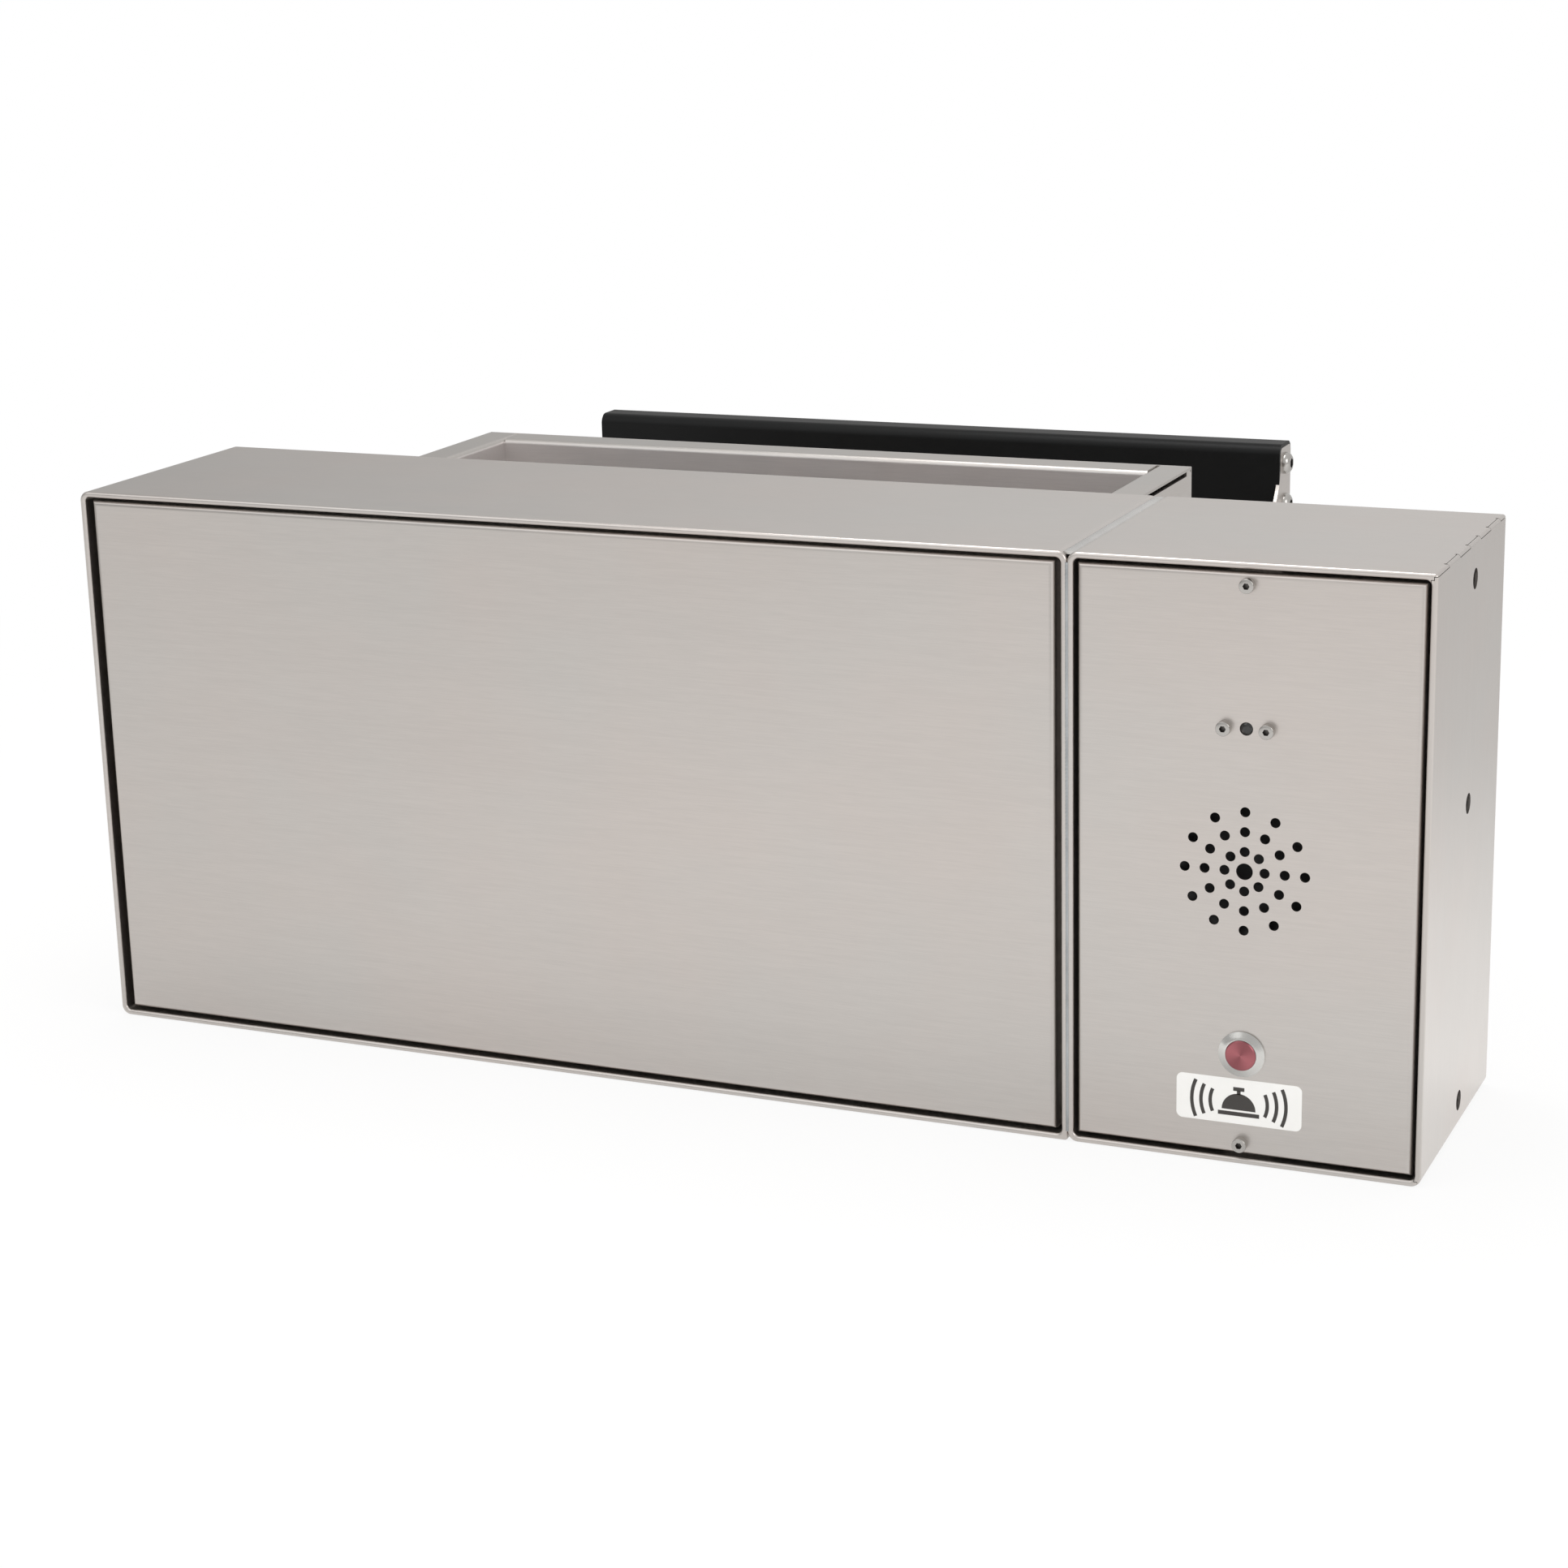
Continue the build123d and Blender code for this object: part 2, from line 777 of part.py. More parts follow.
drawer_panel = pan(drawer_x, panel_half, panel_low_z, panel_high_z, panel_front_y, panel_back_y)
finish("drawer_panel", drawer_panel)

panel_stiffener = pan(drawer_x, tray_half, tray_floor_z, tray_rim_z, tray_front_y, panel_front_y + sheet)
finish("panel_stiffener", panel_stiffener)

# ---------------------------------------------------------------- tray


tray_rear_skin_y = tray_rear_y - sheet
finger_middles, finger_width = finger_spans(drawer_x - tray_half, drawer_x + tray_half, rear_finger_count)
finish_wall_z = tray_floor_z + sheet


def rear_fingers(low_z, high_z):
    """Fingers of the rear skin that stand up through the flanges."""
    with BuildPart() as fingers:
        with BuildSketch(Plane.XY.offset(low_z)):
            for middle in finger_middles:
                limits(middle - finger_width / 2, middle + finger_width / 2, tray_rear_skin_y, tray_rear_y)
        extrude(amount=high_z - low_z)
    return fingers.part


def flanged_profile(inner, outer, high, low):
    """Flange from the outer edge to the well, bent down into the wall; inner and outer are sketch places."""
    side = 1 if outer > inner else -1
    wall = inner + side * sheet
    limits(min(inner, outer), max(inner, outer), high - sheet, high)
    limits(min(inner, wall), max(inner, wall), low, high)


def bend_fillets(builder, axis, inner_corner, outer_corner):
    """Round both sides of a fold whose lines run along an axis through two corners."""
    for corner, radius in ((inner_corner, rim_bend - sheet), (outer_corner, rim_bend)):
        line = builder.edges().filter_by(axis).sort_by_distance(corner)[0]
        fillet(line, radius)


with BuildPart() as tray_side_right:
    wall_x = drawer_x + well_half
    with BuildSketch(facing(tray_rear_y)):
        flanged_profile(wall_x, drawer_x + tray_half, tray_rim_z, finish_wall_z)
    extrude(amount=tray_rear_y - tray_front_y)
    bend_fillets(
        tray_side_right,
        Axis.Y,
        (wall_x + sheet, tray_rear_y / 2, tray_rim_z - sheet),
        (wall_x, tray_rear_y / 2, tray_rim_z),
    )
    with BuildSketch(facing(tray_rear_y)):
        limits(wall_x - cut_end, drawer_x + tray_half + cut_end, finish_wall_z - cut_end, tray_rim_z - sheet)
    extrude(amount=sheet, mode=Mode.SUBTRACT)
    add(rear_fingers(tray_rim_z - 2 * sheet, tray_rim_z + sheet), mode=Mode.SUBTRACT)
finish("tray_side_right", tray_side_right.part)

with BuildPart() as tray_side_left:
    mirror(tray_side_right.part, about=drawer_middle)
finish("tray_side_left", tray_side_left.part)

with BuildPart() as tray_rear:
    with BuildSketch(across(drawer_x - well_half)):
        flanged_profile(well_rear_y, tray_rear_y, tray_rim_z, finish_wall_z)
    extrude(amount=2 * well_half)
    bend_fillets(
        tray_rear,
        Axis.X,
        (drawer_x, well_rear_y + sheet, tray_rim_z - sheet),
        (drawer_x, well_rear_y, tray_rim_z),
    )
    add(rear_fingers(tray_rim_z - 2 * sheet, tray_rim_z + sheet), mode=Mode.SUBTRACT)
finish("tray_rear", tray_rear.part)

with BuildPart() as tray_front:
    with BuildSketch(across(drawer_x - well_half)):
        flanged_profile(well_front_y, tray_front_y, tray_rim_z, finish_wall_z)
    extrude(amount=2 * well_half)
    bend_fillets(
        tray_front,
        Axis.X,
        (drawer_x, well_front_y - sheet, tray_rim_z - sheet),
        (drawer_x, well_front_y, tray_rim_z),
    )
finish("tray_front", tray_front.part)

with BuildPart() as tray_floor:
    with BuildSketch(Plane.XY.offset(tray_floor_z)):
        limits(drawer_x - tray_half + sheet, drawer_x + tray_half - sheet, tray_front_y, tray_rear_skin_y)
    extrude(amount=sheet)
finish("tray_floor", tray_floor.part)

skin_screw_ys = [tray_front_y + arm_screw_inset + n * arm_screw_spacing for n in range(arm_screw_rows)]
skin_screw_points = [(y, limb_z + side * arm_screw_drop) for y in skin_screw_ys for side in (-1, 1)]

with BuildPart() as tray_skin_right:
    with BuildSketch(across(drawer_x + tray_half - sheet)):
        limits(tray_front_y, tray_rear_skin_y, tray_floor_z, tray_rim_z - sheet - side_slot)
        tab_low_z = tray_rim_z - 4 * sheet
        limits(tray_rear_skin_y - side_slot_end, tray_rear_skin_y, tab_low_z, tray_rim_z - sheet)
        limits(tray_front_y, tray_front_y + side_slot_end, tab_low_z, tray_rim_z - sheet)
        with Locations((tray_rear_skin_y, tray_rim_z - sheet)):
            Circle(skin_relief_radius, mode=Mode.SUBTRACT)
        with Locations(*skin_screw_points):
            Circle(m4_radius, mode=Mode.SUBTRACT)
    extrude(amount=sheet)
finish("tray_skin_right", tray_skin_right.part)

with BuildPart() as tray_skin_left:
    mirror(tray_skin_right.part, about=drawer_middle)
finish("tray_skin_left", tray_skin_left.part)

with BuildPart() as tray_skin_rear:
    with BuildSketch(facing(tray_rear_y)):
        limits(drawer_x - tray_half, drawer_x + tray_half, tray_floor_z, tray_rim_z - sheet)
    extrude(amount=sheet)
    add(rear_fingers(tray_rim_z - sheet, tray_rim_z))
finish("tray_skin_rear", tray_skin_rear.part)

# ---------------------------------------------------------------- arms and handle bar


def arm_outline():
    """Outline of an arm: level limb along the tray, sloped web and upright end behind the bar's lip."""
    arm_top_z = bar_top_z - arm_top_drop
    with BuildSketch() as outline:
        with BuildLine():
            Polyline(
                (tray_front_y, limb_low_z),
                (bar_rear_y, limb_low_z),
                (bar_rear_y, arm_top_z),
                (arm_front_y, arm_top_z),
                (arm_front_y, arm_waist_z),
                (arm_front_y - slope_run, limb_high_z),
                (tray_front_y, limb_high_z),
                close=True,
            )
        make_face()
        rounds = (
            ((bar_rear_y, limb_low_z), limb_end_radius),
            ((bar_rear_y, arm_top_z), bar_radius - arm_top_drop),
            ((arm_front_y, arm_top_z), bar_radius - arm_top_drop),
            ((arm_front_y, arm_waist_z), arm_waist_radius),
            ((arm_front_y - slope_run, limb_high_z), limb_bend_radius),
        )
        for corner, radius in rounds:
            fillet(outline.vertices().sort_by_distance((corner[0], corner[1], 0))[0], radius)
    return outline.sketch


arm_face = arm_outline()
bar_screw_y = (bar_front_y + bar_rear_y) / 2
bar_screw_points = [(bar_screw_y, bar_middle_z + side * bar_screw_spacing / 2) for side in (-1, 1)]

with BuildPart() as arm_right:
    with BuildSketch(across(drawer_x + arm_inner)):
        add(arm_face)
        with Locations(*skin_screw_points):
            Circle(m4_radius, mode=Mode.SUBTRACT)
        with Locations(*bar_screw_points):
            Circle(bar_screw_radius, mode=Mode.SUBTRACT)
    extrude(amount=arm_sheet)
finish("arm_right", arm_right.part)

with BuildPart() as arm_left:
    mirror(arm_right.part, about=drawer_middle)
finish("arm_left", arm_left.part)

with BuildPart() as arm_spacers:
    with BuildSketch(across(drawer_x + tray_half)):
        with Locations(*skin_screw_points):
            Circle(spacer_radius)
            Circle(m4_radius, mode=Mode.SUBTRACT)
    extrude(amount=arm_gap)
    mirror(arm_spacers.part, about=drawer_middle)
finish("arm_spacers", arm_spacers.part)

with BuildPart() as arm_screws:
    shank_length = arm_sheet + arm_gap + sheet
    arm_outer_face = across(drawer_x + arm_outer)
    add(
        screws(
            arm_outer_face,
            skin_screw_points,
            shank_length,
            m4_radius,
            arm_screw_head_radius,
            arm_screw_head_height,
            arm_screw_dome,
        )
    )
    mirror(arm_screws.part, about=drawer_middle)
finish("arm_screws", arm_screws.part)

with BuildPart() as handle_bar:
    with BuildSketch(across(drawer_x - arm_outer)):
        add(rounded(bar_front_y, bar_rear_y, bar_low_z, bar_top_z, (bar_radius,) * 4))
    extrude(amount=2 * arm_outer)
    for pocket_x in (drawer_x - arm_outer, drawer_x + arm_inner):
        with BuildSketch(across(pocket_x)):
            add(arm_face)
            offset(amount=bar_arm_fit)
        extrude(amount=arm_sheet, mode=Mode.SUBTRACT)
    for end_x, reach in ((drawer_x - arm_inner, 1), (drawer_x + arm_inner, -1)):
        with BuildSketch(across(end_x)):
            with Locations(*bar_screw_points):
                Circle(bar_screw_radius)
        extrude(amount=reach * bar_screw_length, mode=Mode.SUBTRACT)
finish("handle_bar", handle_bar.part)

with BuildPart() as handle_screws:
    add(
        screws(
            arm_outer_face,
            bar_screw_points,
            arm_sheet + bar_screw_length - bar_screw_end_gap,
            bar_screw_radius,
            bar_screw_head_radius,
            bar_screw_head_height,
            bar_screw_dome,
        )
    )
    mirror(handle_screws.part, about=drawer_middle)
finish("handle_screws", handle_screws.part)

# ---------------------------------------------------------------- rails on the arms

with BuildPart() as rail_right:
    with BuildSketch(facing(rail_rear_y)):
        limits(drawer_x + arm_outer, drawer_x + rail_edge, limb_z - rail_half, limb_z + rail_half)
        limits(
            drawer_x + rail_web_face,
            drawer_x + rail_edge,
            limb_z - rail_inner_half,
            limb_z + rail_inner_half,
            Mode.SUBTRACT,
        )
    extrude(amount=rail_rear_y - tray_front_y)
    with BuildSketch(facing(rail_rear_y)):
        limits(
            drawer_x + rail_web_face,
            drawer_x + rail_edge,
            limb_z - rail_inner_half,
            limb_z + rail_inner_half,
        )
    extrude(amount=stop_thickness)
finish("rail_right", rail_right.part)

with BuildPart() as rail_left:
    mirror(rail_right.part, about=drawer_middle)
finish("rail_left", rail_left.part)

with BuildPart() as latch_strike:
    strike_low_z = latch_z - strike_height / 2
    with BuildSketch(Plane.XY.offset(strike_low_z)):
        limits(
            drawer_x + tray_half, drawer_x + tray_half + strike_reach, strike_y, strike_y + strike_sheet
        )
        limits(drawer_x + tray_half, drawer_x + tray_half + strike_sheet, strike_y, strike_y + strike_leg)
    extrude(amount=strike_height)
finish("latch_strike", latch_strike.part)

# ---------------------------------------------------------------- intercom panel and its fixings


def ring_points(middle_x, middle_z, radius, count):
    """Evenly spaced places on a circle, the first straight above its middle."""
    turns = [2 * pi * n / count for n in range(count)]
    return [(middle_x + radius * sin(turn), middle_z + radius * cos(turn)) for turn in turns]


def square_points(middle_x, middle_z, half):
    """Corners of a square round a middle."""
    return [(middle_x + a * half, middle_z + b * half) for a in (-1, 1) for b in (-1, 1)]


def turned(middle_x, middle_z, outline):
    """Solid turned about a line along Y; the outline is pairs of y and radius."""
    with BuildPart() as body:
        with BuildSketch(across(middle_x)):
            with BuildLine():
                Polyline(*[(y, middle_z + radius) for y, radius in outline], close=True)
            make_face()
        revolve(axis=Axis((middle_x, 0, middle_z), (0, 1, 0)))
    return body.part


speaker_points = [
    point
    for ring, count in enumerate(speaker_rings, start=1)
    for point in ring_points(intercom_x, speaker_z, ring * speaker_pitch, count)
]
panel_screw_points = [(intercom_x, z) for z in panel_screw_heights]
camera_screw_points = [(intercom_x + side * camera_screw_offset, camera_z) for side in (-1, 1)]

with BuildPart() as intercom_panel:
    add(pan(intercom_x, intercom_half, intercom_low_z, intercom_high_z, intercom_panel_y, intercom_back_y))
    with BuildSketch(facing(intercom_skin_y)):
        with Locations(*speaker_points):
            Circle(speaker_hole_radius)
        with Locations((intercom_x, speaker_z)):
            Circle(speaker_centre_radius)
        with Locations((intercom_x, camera_z)):
            Circle(camera_hole_radius)
        with Locations((intercom_x, button_z)):
            Circle(button_hole_radius)
        with Locations(*panel_screw_points, *camera_screw_points):
            Circle(m4_radius)
    extrude(amount=sheet, mode=Mode.SUBTRACT)
finish("intercom_panel", intercom_panel.part)

panel_face = facing(intercom_panel_y)
panel_screw_length = intercom_panel_depth + panel_screw_end

with BuildPart() as panel_screws:
    add(
        screws(
            panel_face,
            panel_screw_points,
            panel_screw_length,
            m4_radius,
            m4_head_radius,
            m4_head_height,
            m4_head_edge,
        )
    )
finish("panel_screws", panel_screws.part)

with BuildPart() as camera_screws:
    add(
        screws(
            panel_face,
            camera_screw_points,
            camera_screw_length,
            m4_radius,
            m4_head_radius,
            m4_head_height,
            m4_head_edge,
        )
    )
finish("camera_screws", camera_screws.part)

with BuildPart() as box_lugs:
    for z, inward in ((hood_height - sheet, -1), (sheet, 1)):
        tip = z + inward * lug_height
        with BuildSketch(facing(intercom_back_y + sheet)):
            limits(intercom_x - lug_half_width, intercom_x + lug_half_width, min(z, tip), max(z, tip))
        extrude(amount=sheet)
        with BuildSketch(Plane.XY.offset(z)):
            limits(
                intercom_x - lug_half_width,
                intercom_x + lug_half_width,
                intercom_back_y,
                intercom_back_y + lug_leg,
            )
        extrude(amount=inward * sheet)
    with BuildSketch(facing(intercom_back_y + sheet)):
        with Locations(*panel_screw_points):
            Circle(m4_radius)
    extrude(amount=sheet, mode=Mode.SUBTRACT)
    for x, sideways in ((seam_x + sheet, 1), (right_x - sheet, -1)):
        for z, inward in ((hood_height - sheet, -1), (sheet, 1)):
            tip_x = x + sideways * corner_lug_size
            tip_z = z + inward * corner_lug_size
            with BuildSketch(facing(rear_y - sheet)):
                limits(min(x, tip_x), max(x, tip_x), min(z, tip_z), max(z, tip_z))
                with Locations((x + sideways * corner_screw_inset, z + inward * corner_screw_inset)):
                    Circle(m4_radius, mode=Mode.SUBTRACT)
            extrude(amount=sheet)
            with BuildSketch(across(x)):
                limits(rear_y - sheet - corner_lug_leg, rear_y - sheet, min(z, tip_z), max(z, tip_z))
            extrude(amount=sideways * sheet)
    with BuildSketch(facing(rear_y)):
        with Locations((intercom_x, hood_height / 2)):
            RectangleRounded(intercom_width - 2 * sheet, hood_height - 2 * sheet, frame_corner)
    extrude(amount=hood_depth, mode=Mode.INTERSECT)
finish("box_lugs", box_lugs.part)

with BuildPart() as call_label:
    label_x = intercom_x - label_shift
    with BuildSketch(panel_face):
        with Locations((label_x, label_z)):
            RectangleRounded(label_width, label_height, label_radius)
    extrude(amount=label_thickness)
finish("call_label", call_label.part)

# ---------------------------------------------------------------- speaker

gasket_back_y = intercom_skin_y + gasket_thickness
flange_back_y = gasket_back_y + speaker_flange
basket_end_y = flange_back_y + basket_depth
stud_points = square_points(intercom_x, speaker_z, stud_offset)

with BuildPart() as speaker_gasket:
    with BuildSketch(facing(gasket_back_y)):
        with Locations((intercom_x, speaker_z)):
            Circle(gasket_radius)
            Circle(cone_radius, mode=Mode.SUBTRACT)
    extrude(amount=gasket_back_y - intercom_skin_y)
finish("speaker_gasket", speaker_gasket.part)

with BuildPart() as speaker_frame:
    with BuildSketch(facing(flange_back_y)):
        with Locations((intercom_x, speaker_z)):
            RectangleRounded(speaker_size, speaker_size, speaker_corner)
            Circle(cone_radius, mode=Mode.SUBTRACT)
        with Locations(*stud_points):
            Circle(m4_radius, mode=Mode.SUBTRACT)
    extrude(amount=speaker_flange)
    basket = (
        (flange_back_y, basket_radius),
        (basket_end_y, basket_end_radius),
        (basket_end_y, coil_radius),
        (basket_end_y - basket_sheet, coil_radius),
        (basket_end_y - basket_sheet, basket_end_radius - basket_sheet),
        (flange_back_y, basket_radius - basket_sheet),
    )
    add(turned(intercom_x, speaker_z, basket))
finish("speaker_frame", speaker_frame.part)

cone_end_y = flange_back_y + cone_depth
cone_outline = (
    (flange_back_y - cone_edge, cone_radius),
    (flange_back_y - cone_edge + cone_thickness, cone_radius),
    (cone_end_y, coil_radius + 2 * cone_thickness),
    (cone_end_y, coil_radius),
    (basket_end_y, coil_radius),
    (basket_end_y, coil_radius - cone_thickness),
    (cone_end_y - cone_thickness, coil_radius - cone_thickness),
    (cone_end_y - cone_thickness - dome_rise, 0),
    (cone_end_y - 2 * cone_thickness - dome_rise, 0),
    (cone_end_y - 2 * cone_thickness, coil_radius + cone_thickness),
)
finish("speaker_cone", turned(intercom_x, speaker_z, cone_outline))

magnet_end_y = basket_end_y + magnet_depth
magnet_outline = (
    (basket_end_y, 0),
    (basket_end_y, magnet_radius),
    (magnet_end_y, magnet_radius),
    (magnet_end_y, magnet_cap_radius),
    (magnet_end_y + magnet_cap_depth, magnet_cap_radius),
    (magnet_end_y + magnet_cap_depth, 0),
)
finish("speaker_magnet", turned(intercom_x, speaker_z, magnet_outline))

with BuildPart() as speaker_fixings:
    with BuildSketch(facing(intercom_skin_y)):
        with Locations(*stud_points):
            Circle(m4_radius)
    extrude(amount=-stud_length)
    with BuildSketch(facing(flange_back_y + stud_nut_height)):
        with Locations(*stud_points):
            RegularPolygon(stud_nut_radius, 6)
    extrude(amount=stud_nut_height)
finish("speaker_fixings", speaker_fixings.part)

# ---------------------------------------------------------------- camera

with BuildPart() as camera_body:
    with BuildSketch(facing(intercom_skin_y)):
        with Locations((intercom_x, camera_z)):
            RectangleRounded(camera_body_width, camera_body_height, camera_body_corner)
    extrude(amount=-camera_body_depth)
    with BuildSketch(facing(intercom_skin_y)):
        with Locations(*camera_screw_points):
            Circle(m4_radius)
    extrude(amount=-(camera_screw_length - sheet), mode=Mode.SUBTRACT)
finish("camera_body", camera_body.part)

lens_radius = camera_hole_radius - lens_fit
lens_outline = (
    (intercom_skin_y, 0),
    (intercom_skin_y, lens_radius),
    (intercom_skin_y - lens_land, lens_radius),
    (intercom_skin_y - lens_rise, lens_radius / 2),
    (intercom_skin_y - lens_rise, 0),
)
finish("camera_lens", turned(intercom_x, camera_z, lens_outline))

# ---------------------------------------------------------------- call button

bezel_y = intercom_panel_y - bezel_height
bore_radius = cap_radius + cap_fit
barrel_end_y = intercom_panel_y + barrel_length
bore_end_y = barrel_end_y - barrel_floor
cap_face_y = bezel_y - cap_proud
cap_back_y = cap_face_y + cap_depth
barrel_radius = button_hole_radius - barrel_fit

body_outline = (
    (bezel_y, bore_radius),
    (bezel_y, bore_radius + bezel_land),
    (intercom_panel_y - bezel_edge, bezel_radius),
    (intercom_panel_y, bezel_radius),
    (intercom_panel_y, barrel_radius),
    (barrel_end_y, barrel_radius),
    (barrel_end_y, plunger_hole_radius),
    (bore_end_y, plunger_hole_radius),
    (bore_end_y, bore_radius),
)
finish("button_body", turned(intercom_x, button_z, body_outline))

cap_outline = (
    (cap_face_y, 0),
    (cap_face_y, cap_radius - cap_edge),
    (cap_face_y + cap_edge, cap_radius),
    (cap_back_y, cap_radius),
    (cap_back_y, plunger_radius),
    (bore_end_y - plunger_end_gap, plunger_radius),
    (bore_end_y - plunger_end_gap, 0),
)
finish("button_cap", turned(intercom_x, button_z, cap_outline))

with BuildPart() as button_spring:
    spring_seat = spring_wire + spring_end_gap
    spring_length = bore_end_y - cap_back_y - 2 * spring_seat
    with BuildLine():
        coil = Helix(
            pitch=spring_length / spring_turns,
            height=spring_length,
            radius=spring_radius,
            center=(intercom_x, cap_back_y + spring_seat, button_z),
            direction=(0, 1, 0),
        )
    with BuildSketch(Plane(origin=coil @ 0, z_dir=coil % 0)):
        Circle(spring_wire)
    sweep()
finish("button_spring", button_spring.part)

with BuildPart() as button_nut:
    with BuildSketch(facing(intercom_skin_y + button_nut_height)):
        with Locations((intercom_x, button_z)):
            RegularPolygon(button_nut_radius, 6)
            Circle(barrel_radius, mode=Mode.SUBTRACT)
    extrude(amount=button_nut_height)
finish("button_nut", button_nut.part)

with BuildPart() as switch_block:
    with BuildSketch(facing(barrel_end_y + switch_depth)):
        with Locations((intercom_x, button_z)):
            RectangleRounded(switch_size, switch_size, switch_corner)
    extrude(amount=switch_depth)
    with BuildSketch(facing(barrel_end_y + switch_depth)):
        with Locations(*[(intercom_x + side * terminal_offset, button_z) for side in (-1, 1)]):
            Rectangle(terminal_sheet, terminal_width)
    extrude(amount=-terminal_length)
finish("switch_block", switch_block.part)

# ---------------------------------------------------------------- intercom board

board_wall_x = seam_x + sheet
board_x = board_wall_x + standoff_length
board_face_x = board_x + board_sheet
board_front_y = front_y + board_front_space
board_rear_y = board_front_y + board_depth
board_high_z = hood_height - board_top_space
board_low_z = board_high_z - board_height
board_points = [
    (y, z)
    for y in (board_front_y + board_hole_inset, board_rear_y - board_hole_inset)
    for z in (board_low_z + board_hole_inset, board_high_z - board_hole_inset)
]
chip_spans = ((0.22, 0.49, 0.38, 0.64), (0.62, 0.89, 0.18, 0.27), (0.62, 0.89, 0.78, 0.91))
capacitor_shares = ((0.20, 0.80), (0.36, 0.80), (0.56, 0.44))

with BuildPart() as board_standoffs:
    with BuildSketch(across(board_wall_x)):
        with Locations(*board_points):
            RegularPolygon(standoff_radius, 6)
    extrude(amount=standoff_length)
finish("board_standoffs", board_standoffs.part)

with BuildPart() as intercom_board:
    with BuildSketch(across(board_x)):
        limits(board_front_y, board_rear_y, board_low_z, board_high_z)
    extrude(amount=board_sheet)
    with BuildSketch(across(board_face_x)):
        for near, far, low, high in chip_spans:
            limits(
                board_front_y + near * board_depth,
                board_front_y + far * board_depth,
                board_low_z + low * board_height,
                board_low_z + high * board_height,
            )
    extrude(amount=chip_height)
    with BuildSketch(across(board_face_x)):
        for along, up in capacitor_shares:
            with Locations((board_front_y + along * board_depth, board_low_z + up * board_height)):
                Circle(capacitor_radius)
    extrude(amount=capacitor_height)
finish("intercom_board", intercom_board.part)

# ---------------------------------------------------------------- rear cover of the intercom box

corner_inset = sheet + corner_screw_inset
cover_screw_points = [
    (x, z)
    for x in (seam_x + corner_inset, right_x - corner_inset)
    for z in (corner_inset, hood_height - corner_inset)
]
cable_point = (intercom_x, cable_z)

with BuildPart() as rear_cover:
    with BuildSketch(facing(rear_y)):
        with Locations((intercom_x, hood_height / 2)):
            cover_inset = 2 * (sheet + cover_gap)
            RectangleRounded(intercom_width - cover_inset, hood_height - cover_inset, frame_corner)
        with Locations(*cover_screw_points):
            Circle(m4_radius, mode=Mode.SUBTRACT)
        with Locations(cable_point):
            Circle(cable_hole_radius, mode=Mode.SUBTRACT)
    extrude(amount=sheet)
finish("rear_cover", rear_cover.part)

with BuildPart() as rear_cover_screws:
    cover_face = Plane(origin=(0, rear_y, 0), x_dir=(-1, 0, 0), z_dir=(0, 1, 0))
    turned_points = [(-x, z) for x, z in cover_screw_points]
    add(
        screws(
            cover_face,
            turned_points,
            cover_screw_length,
            m4_radius,
            m4_head_radius,
            button_head_height,
            button_head_dome,
        )
    )
finish("rear_cover_screws", rear_cover_screws.part)

grommet_outline = (
    (rear_y + grommet_lip, grommet_bore_radius),
    (rear_y + grommet_lip, grommet_crown_radius),
    (rear_y, grommet_lip_radius),
    (rear_y, cable_hole_radius),
    (rear_y - sheet, cable_hole_radius),
    (rear_y - sheet, grommet_lip_radius),
    (rear_y - sheet - grommet_lip, grommet_crown_radius),
    (rear_y - sheet - grommet_lip, grommet_bore_radius),
)
finish("cable_grommet", turned(*cable_point, grommet_outline))
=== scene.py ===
"""Looks of a deposit drawer with an intercom box: brushed sheet steel, black handle bar, red call button.

Metres, +Z up, in the same frame as the solids. The customer stands on the -Y side, the teller on the +Y side.
"""

import logging
import math
from dataclasses import dataclass, field
from enum import Enum
from typing import Any, Iterable, Sequence

import bmesh
import bpy
from mathutils import Matrix, Vector

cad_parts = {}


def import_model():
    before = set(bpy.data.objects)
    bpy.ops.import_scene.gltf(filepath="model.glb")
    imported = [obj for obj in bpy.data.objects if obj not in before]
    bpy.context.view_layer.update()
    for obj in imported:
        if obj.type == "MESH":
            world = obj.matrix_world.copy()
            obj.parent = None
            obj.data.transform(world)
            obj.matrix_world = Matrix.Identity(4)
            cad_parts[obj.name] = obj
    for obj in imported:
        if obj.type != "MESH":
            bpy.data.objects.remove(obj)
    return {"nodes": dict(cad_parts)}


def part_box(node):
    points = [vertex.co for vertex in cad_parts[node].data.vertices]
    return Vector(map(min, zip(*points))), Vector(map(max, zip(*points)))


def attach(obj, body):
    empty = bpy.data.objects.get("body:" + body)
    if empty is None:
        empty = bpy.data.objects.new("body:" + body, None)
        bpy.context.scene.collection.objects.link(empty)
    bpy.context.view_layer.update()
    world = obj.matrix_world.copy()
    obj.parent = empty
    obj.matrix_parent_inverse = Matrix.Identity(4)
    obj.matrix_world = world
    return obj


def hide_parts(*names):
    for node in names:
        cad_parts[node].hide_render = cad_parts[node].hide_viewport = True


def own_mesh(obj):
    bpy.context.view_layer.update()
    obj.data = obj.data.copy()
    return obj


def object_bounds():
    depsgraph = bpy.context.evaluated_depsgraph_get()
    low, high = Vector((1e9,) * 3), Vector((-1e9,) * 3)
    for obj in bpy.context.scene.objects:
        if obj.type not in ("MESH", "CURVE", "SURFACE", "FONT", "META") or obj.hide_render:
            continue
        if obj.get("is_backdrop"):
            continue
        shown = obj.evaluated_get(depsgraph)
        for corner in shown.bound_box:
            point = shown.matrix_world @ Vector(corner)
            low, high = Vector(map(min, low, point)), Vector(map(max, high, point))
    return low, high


log = logging.getLogger("deposit_drawer")

Point = tuple[float, float, float]
Colour = tuple[float, float, float, float]

MM = 0.001


